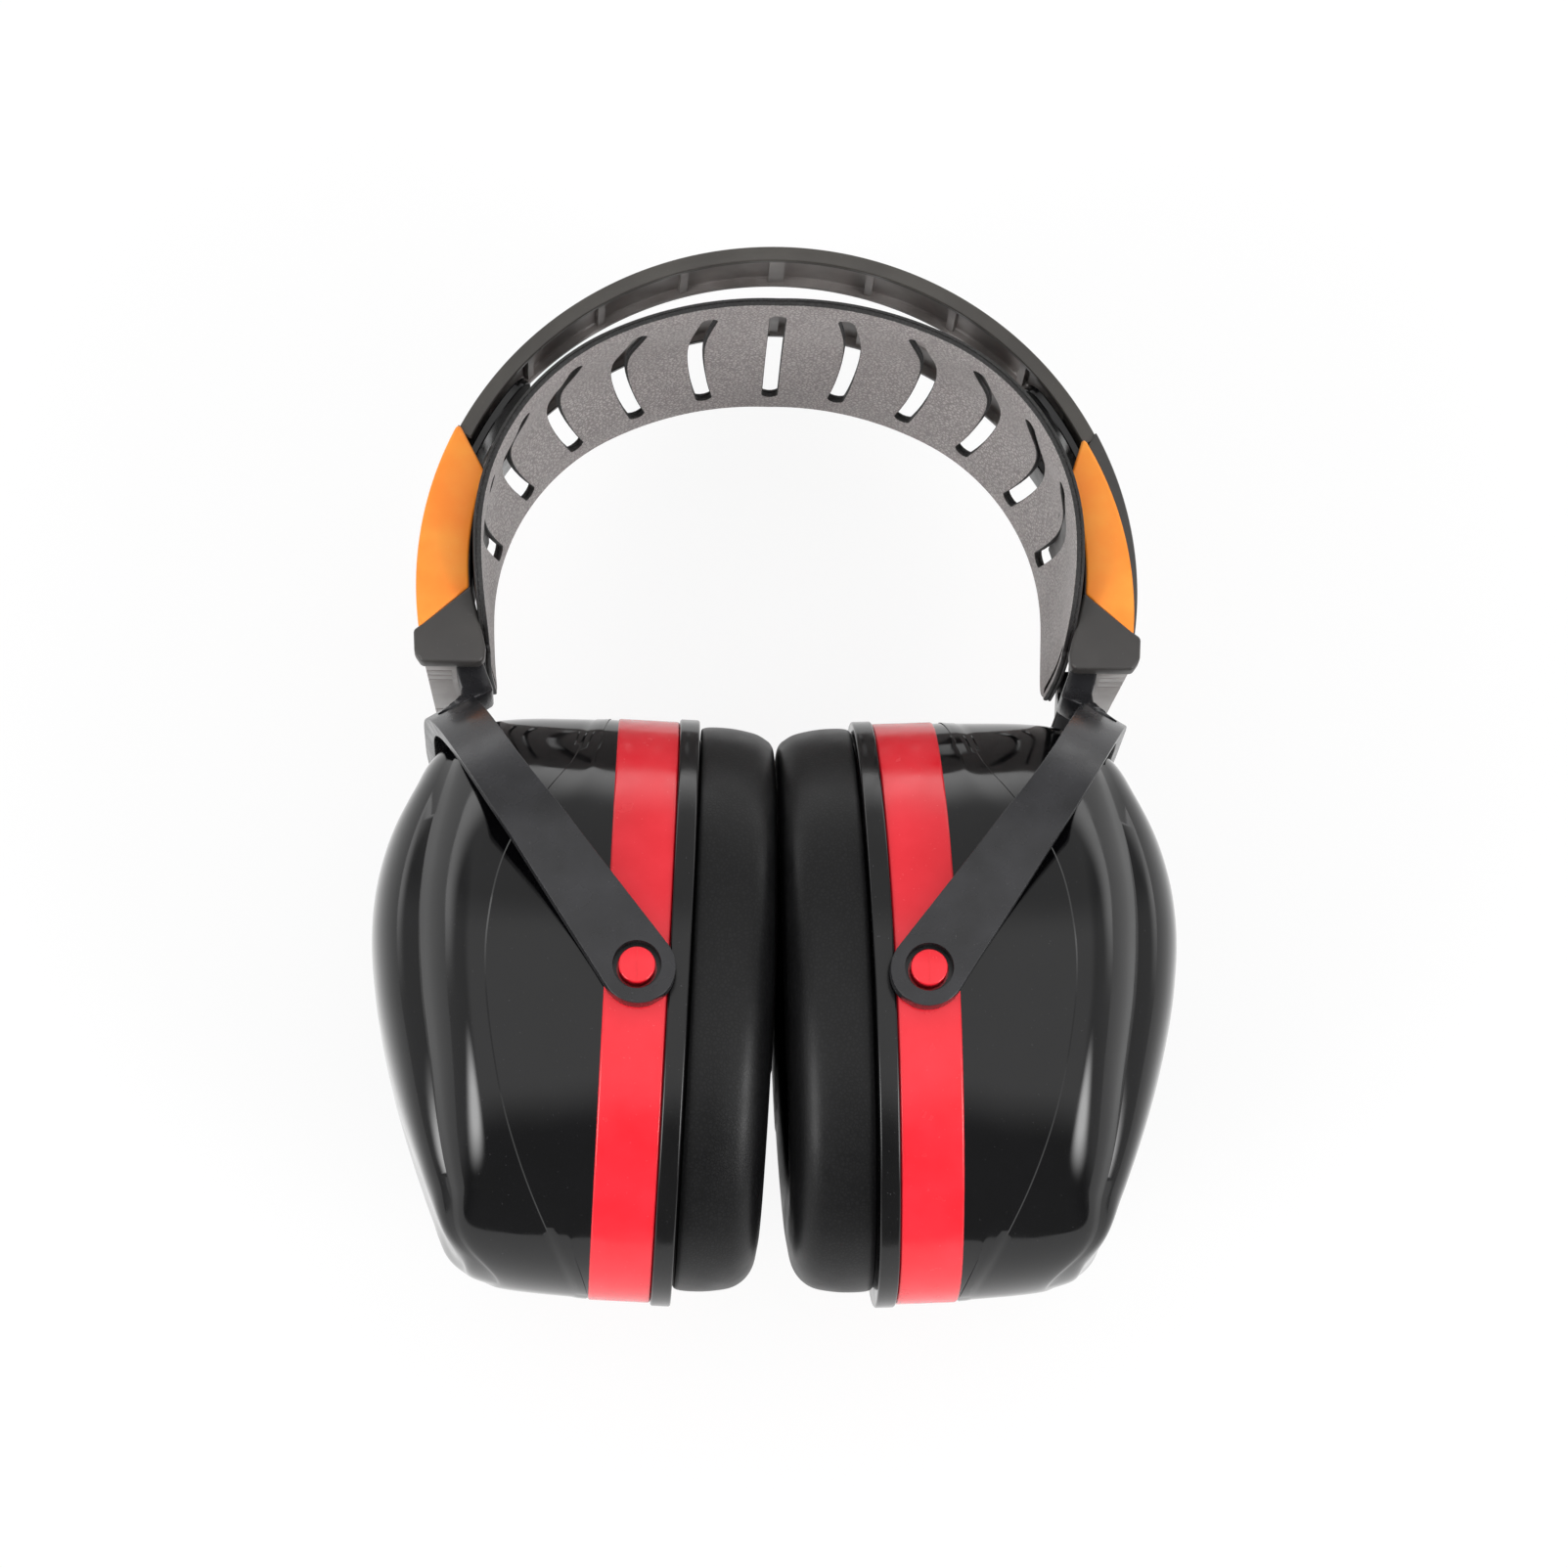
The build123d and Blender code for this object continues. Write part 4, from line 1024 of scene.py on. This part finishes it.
def make_floor():
    """White table top, made whiter where it is seen or mirrored, which keeps a soft shadow."""
    made = bpy.data.materials.new("white_table")
    corners = [(x * FLOOR_HALF, y * FLOOR_HALF, -0.05) for x, y in CORNERS]
    floor = new_object("floor", corners, [(0, 1, 2, 3)], made)
    tree = empty_tree(made)
    rays = add_node(tree, "ShaderNodeLightPath").outputs
    seen = {0: rays["Is Camera Ray"], 1: rays["Is Glossy Ray"]}
    direct = add_node(tree, "ShaderNodeMath", seen, operation="ADD")
    every = add_node(tree, "ShaderNodeMath", {0: direct, 1: rays["Is Transmission Ray"]}, operation="ADD")
    share = add_node(tree, "ShaderNodeMath", {0: every, 1: FLOOR_WHITE}, operation="MULTIPLY", use_clamp=True)
    paper = add_node(tree, "ShaderNodeBsdfDiffuse", {"Color": linear("#FAFAFA")})
    plain = add_node(tree, "ShaderNodeEmission", {"Color": (1, 1, 1, 1)})
    both = add_node(tree, "ShaderNodeMixShader", {0: share, 1: paper, 2: plain})
    add_node(tree, "ShaderNodeOutputMaterial", {"Surface": both})


def make_world():
    """Studio: a soft ceiling, dim towards the cups' feet, a bright horizon and a low glow on each side."""
    world = bpy.data.worlds.new("studio")
    bpy.context.scene.world = world
    tree = empty_tree(world)
    way = add_node(tree, "ShaderNodeTexCoord").outputs["Generated"]
    parts = add_node(tree, "ShaderNodeSeparateXYZ", {0: way}).outputs
    sweep = add_node(tree, "ShaderNodeMath", {0: parts["Y"]}, operation="ARCSINE")
    aside = add_node(tree, "ShaderNodeMath", {0: parts["X"]}, operation="ABSOLUTE")
    smooth = {"interpolation_type": "SMOOTHSTEP"}
    # Each ramp: what it follows, from where to where, and its two strengths.
    ramps = (
        (sweep, -0.8, -0.45, DIM, CEILING), (sweep, 0.35, 0.6, 1.0, 0.6), (aside, 0.45, 0.75, 1.0, 0.6),
        (parts["Z"], 0.05, 0.35, 1.0, 0.0), (parts["Y"], 0.0, 0.5, 0.0, HORIZON),
    )
    foot, crown, flank, low, far = (
        add_node(tree, "ShaderNodeMapRange", dict(enumerate(ramp)), **smooth) for ramp in ramps
    )
    over = add_node(tree, "ShaderNodeMath", {0: foot, 1: crown}, operation="MULTIPLY")
    sides = add_node(tree, "ShaderNodeMath", {0: over, 1: flank}, operation="MULTIPLY")
    edge = add_node(tree, "ShaderNodeMath", {0: low, 1: far}, operation="MULTIPLY")
    plain = add_node(tree, "ShaderNodeMath", {0: sides, 1: edge}, operation="ADD")
    towards = add_node(tree, "ShaderNodeCombineXYZ", {0: aside, 1: parts["Y"], 2: parts["Z"]})
    offset = add_node(tree, "ShaderNodeVectorMath", {0: towards, 1: GLOW_WAY}, operation="SUBTRACT")
    shaped = add_node(tree, "ShaderNodeVectorMath", {0: offset, 1: GLOW_SIZE}, operation="DIVIDE")
    away = add_node(tree, "ShaderNodeVectorMath", {0: shaped}, operation="LENGTH").outputs["Value"]
    glow = add_node(tree, "ShaderNodeMapRange", {0: away, 1: 1.0, 2: 0.2, 3: 0.0, 4: GLOW}, **smooth)
    level = add_node(tree, "ShaderNodeMath", {0: plain, 1: glow}, operation="ADD")
    sky = add_node(tree, "ShaderNodeBackground", {"Color": (1, 1, 1, 1), "Strength": level})
    add_node(tree, "ShaderNodeOutputWorld", {"Surface": sky})


make_floor()
make_world()
camera_data = bpy.data.cameras.new("camera")
camera_data.lens = 124.2
camera_data.sensor_width = 36.0
camera_data.clip_start = 0.05
camera = added("camera", camera_data)
camera.location = CAMERA_PLACE
back = (CAMERA_PLACE - CAMERA_AIM).normalized()
across = Vector((0, 1, 0)).cross(back).normalized()
camera.rotation_euler = Matrix((across, back.cross(across), back)).transposed().to_euler()
bpy.context.scene.camera = camera
bpy.context.scene.view_settings.view_transform = "Standard"
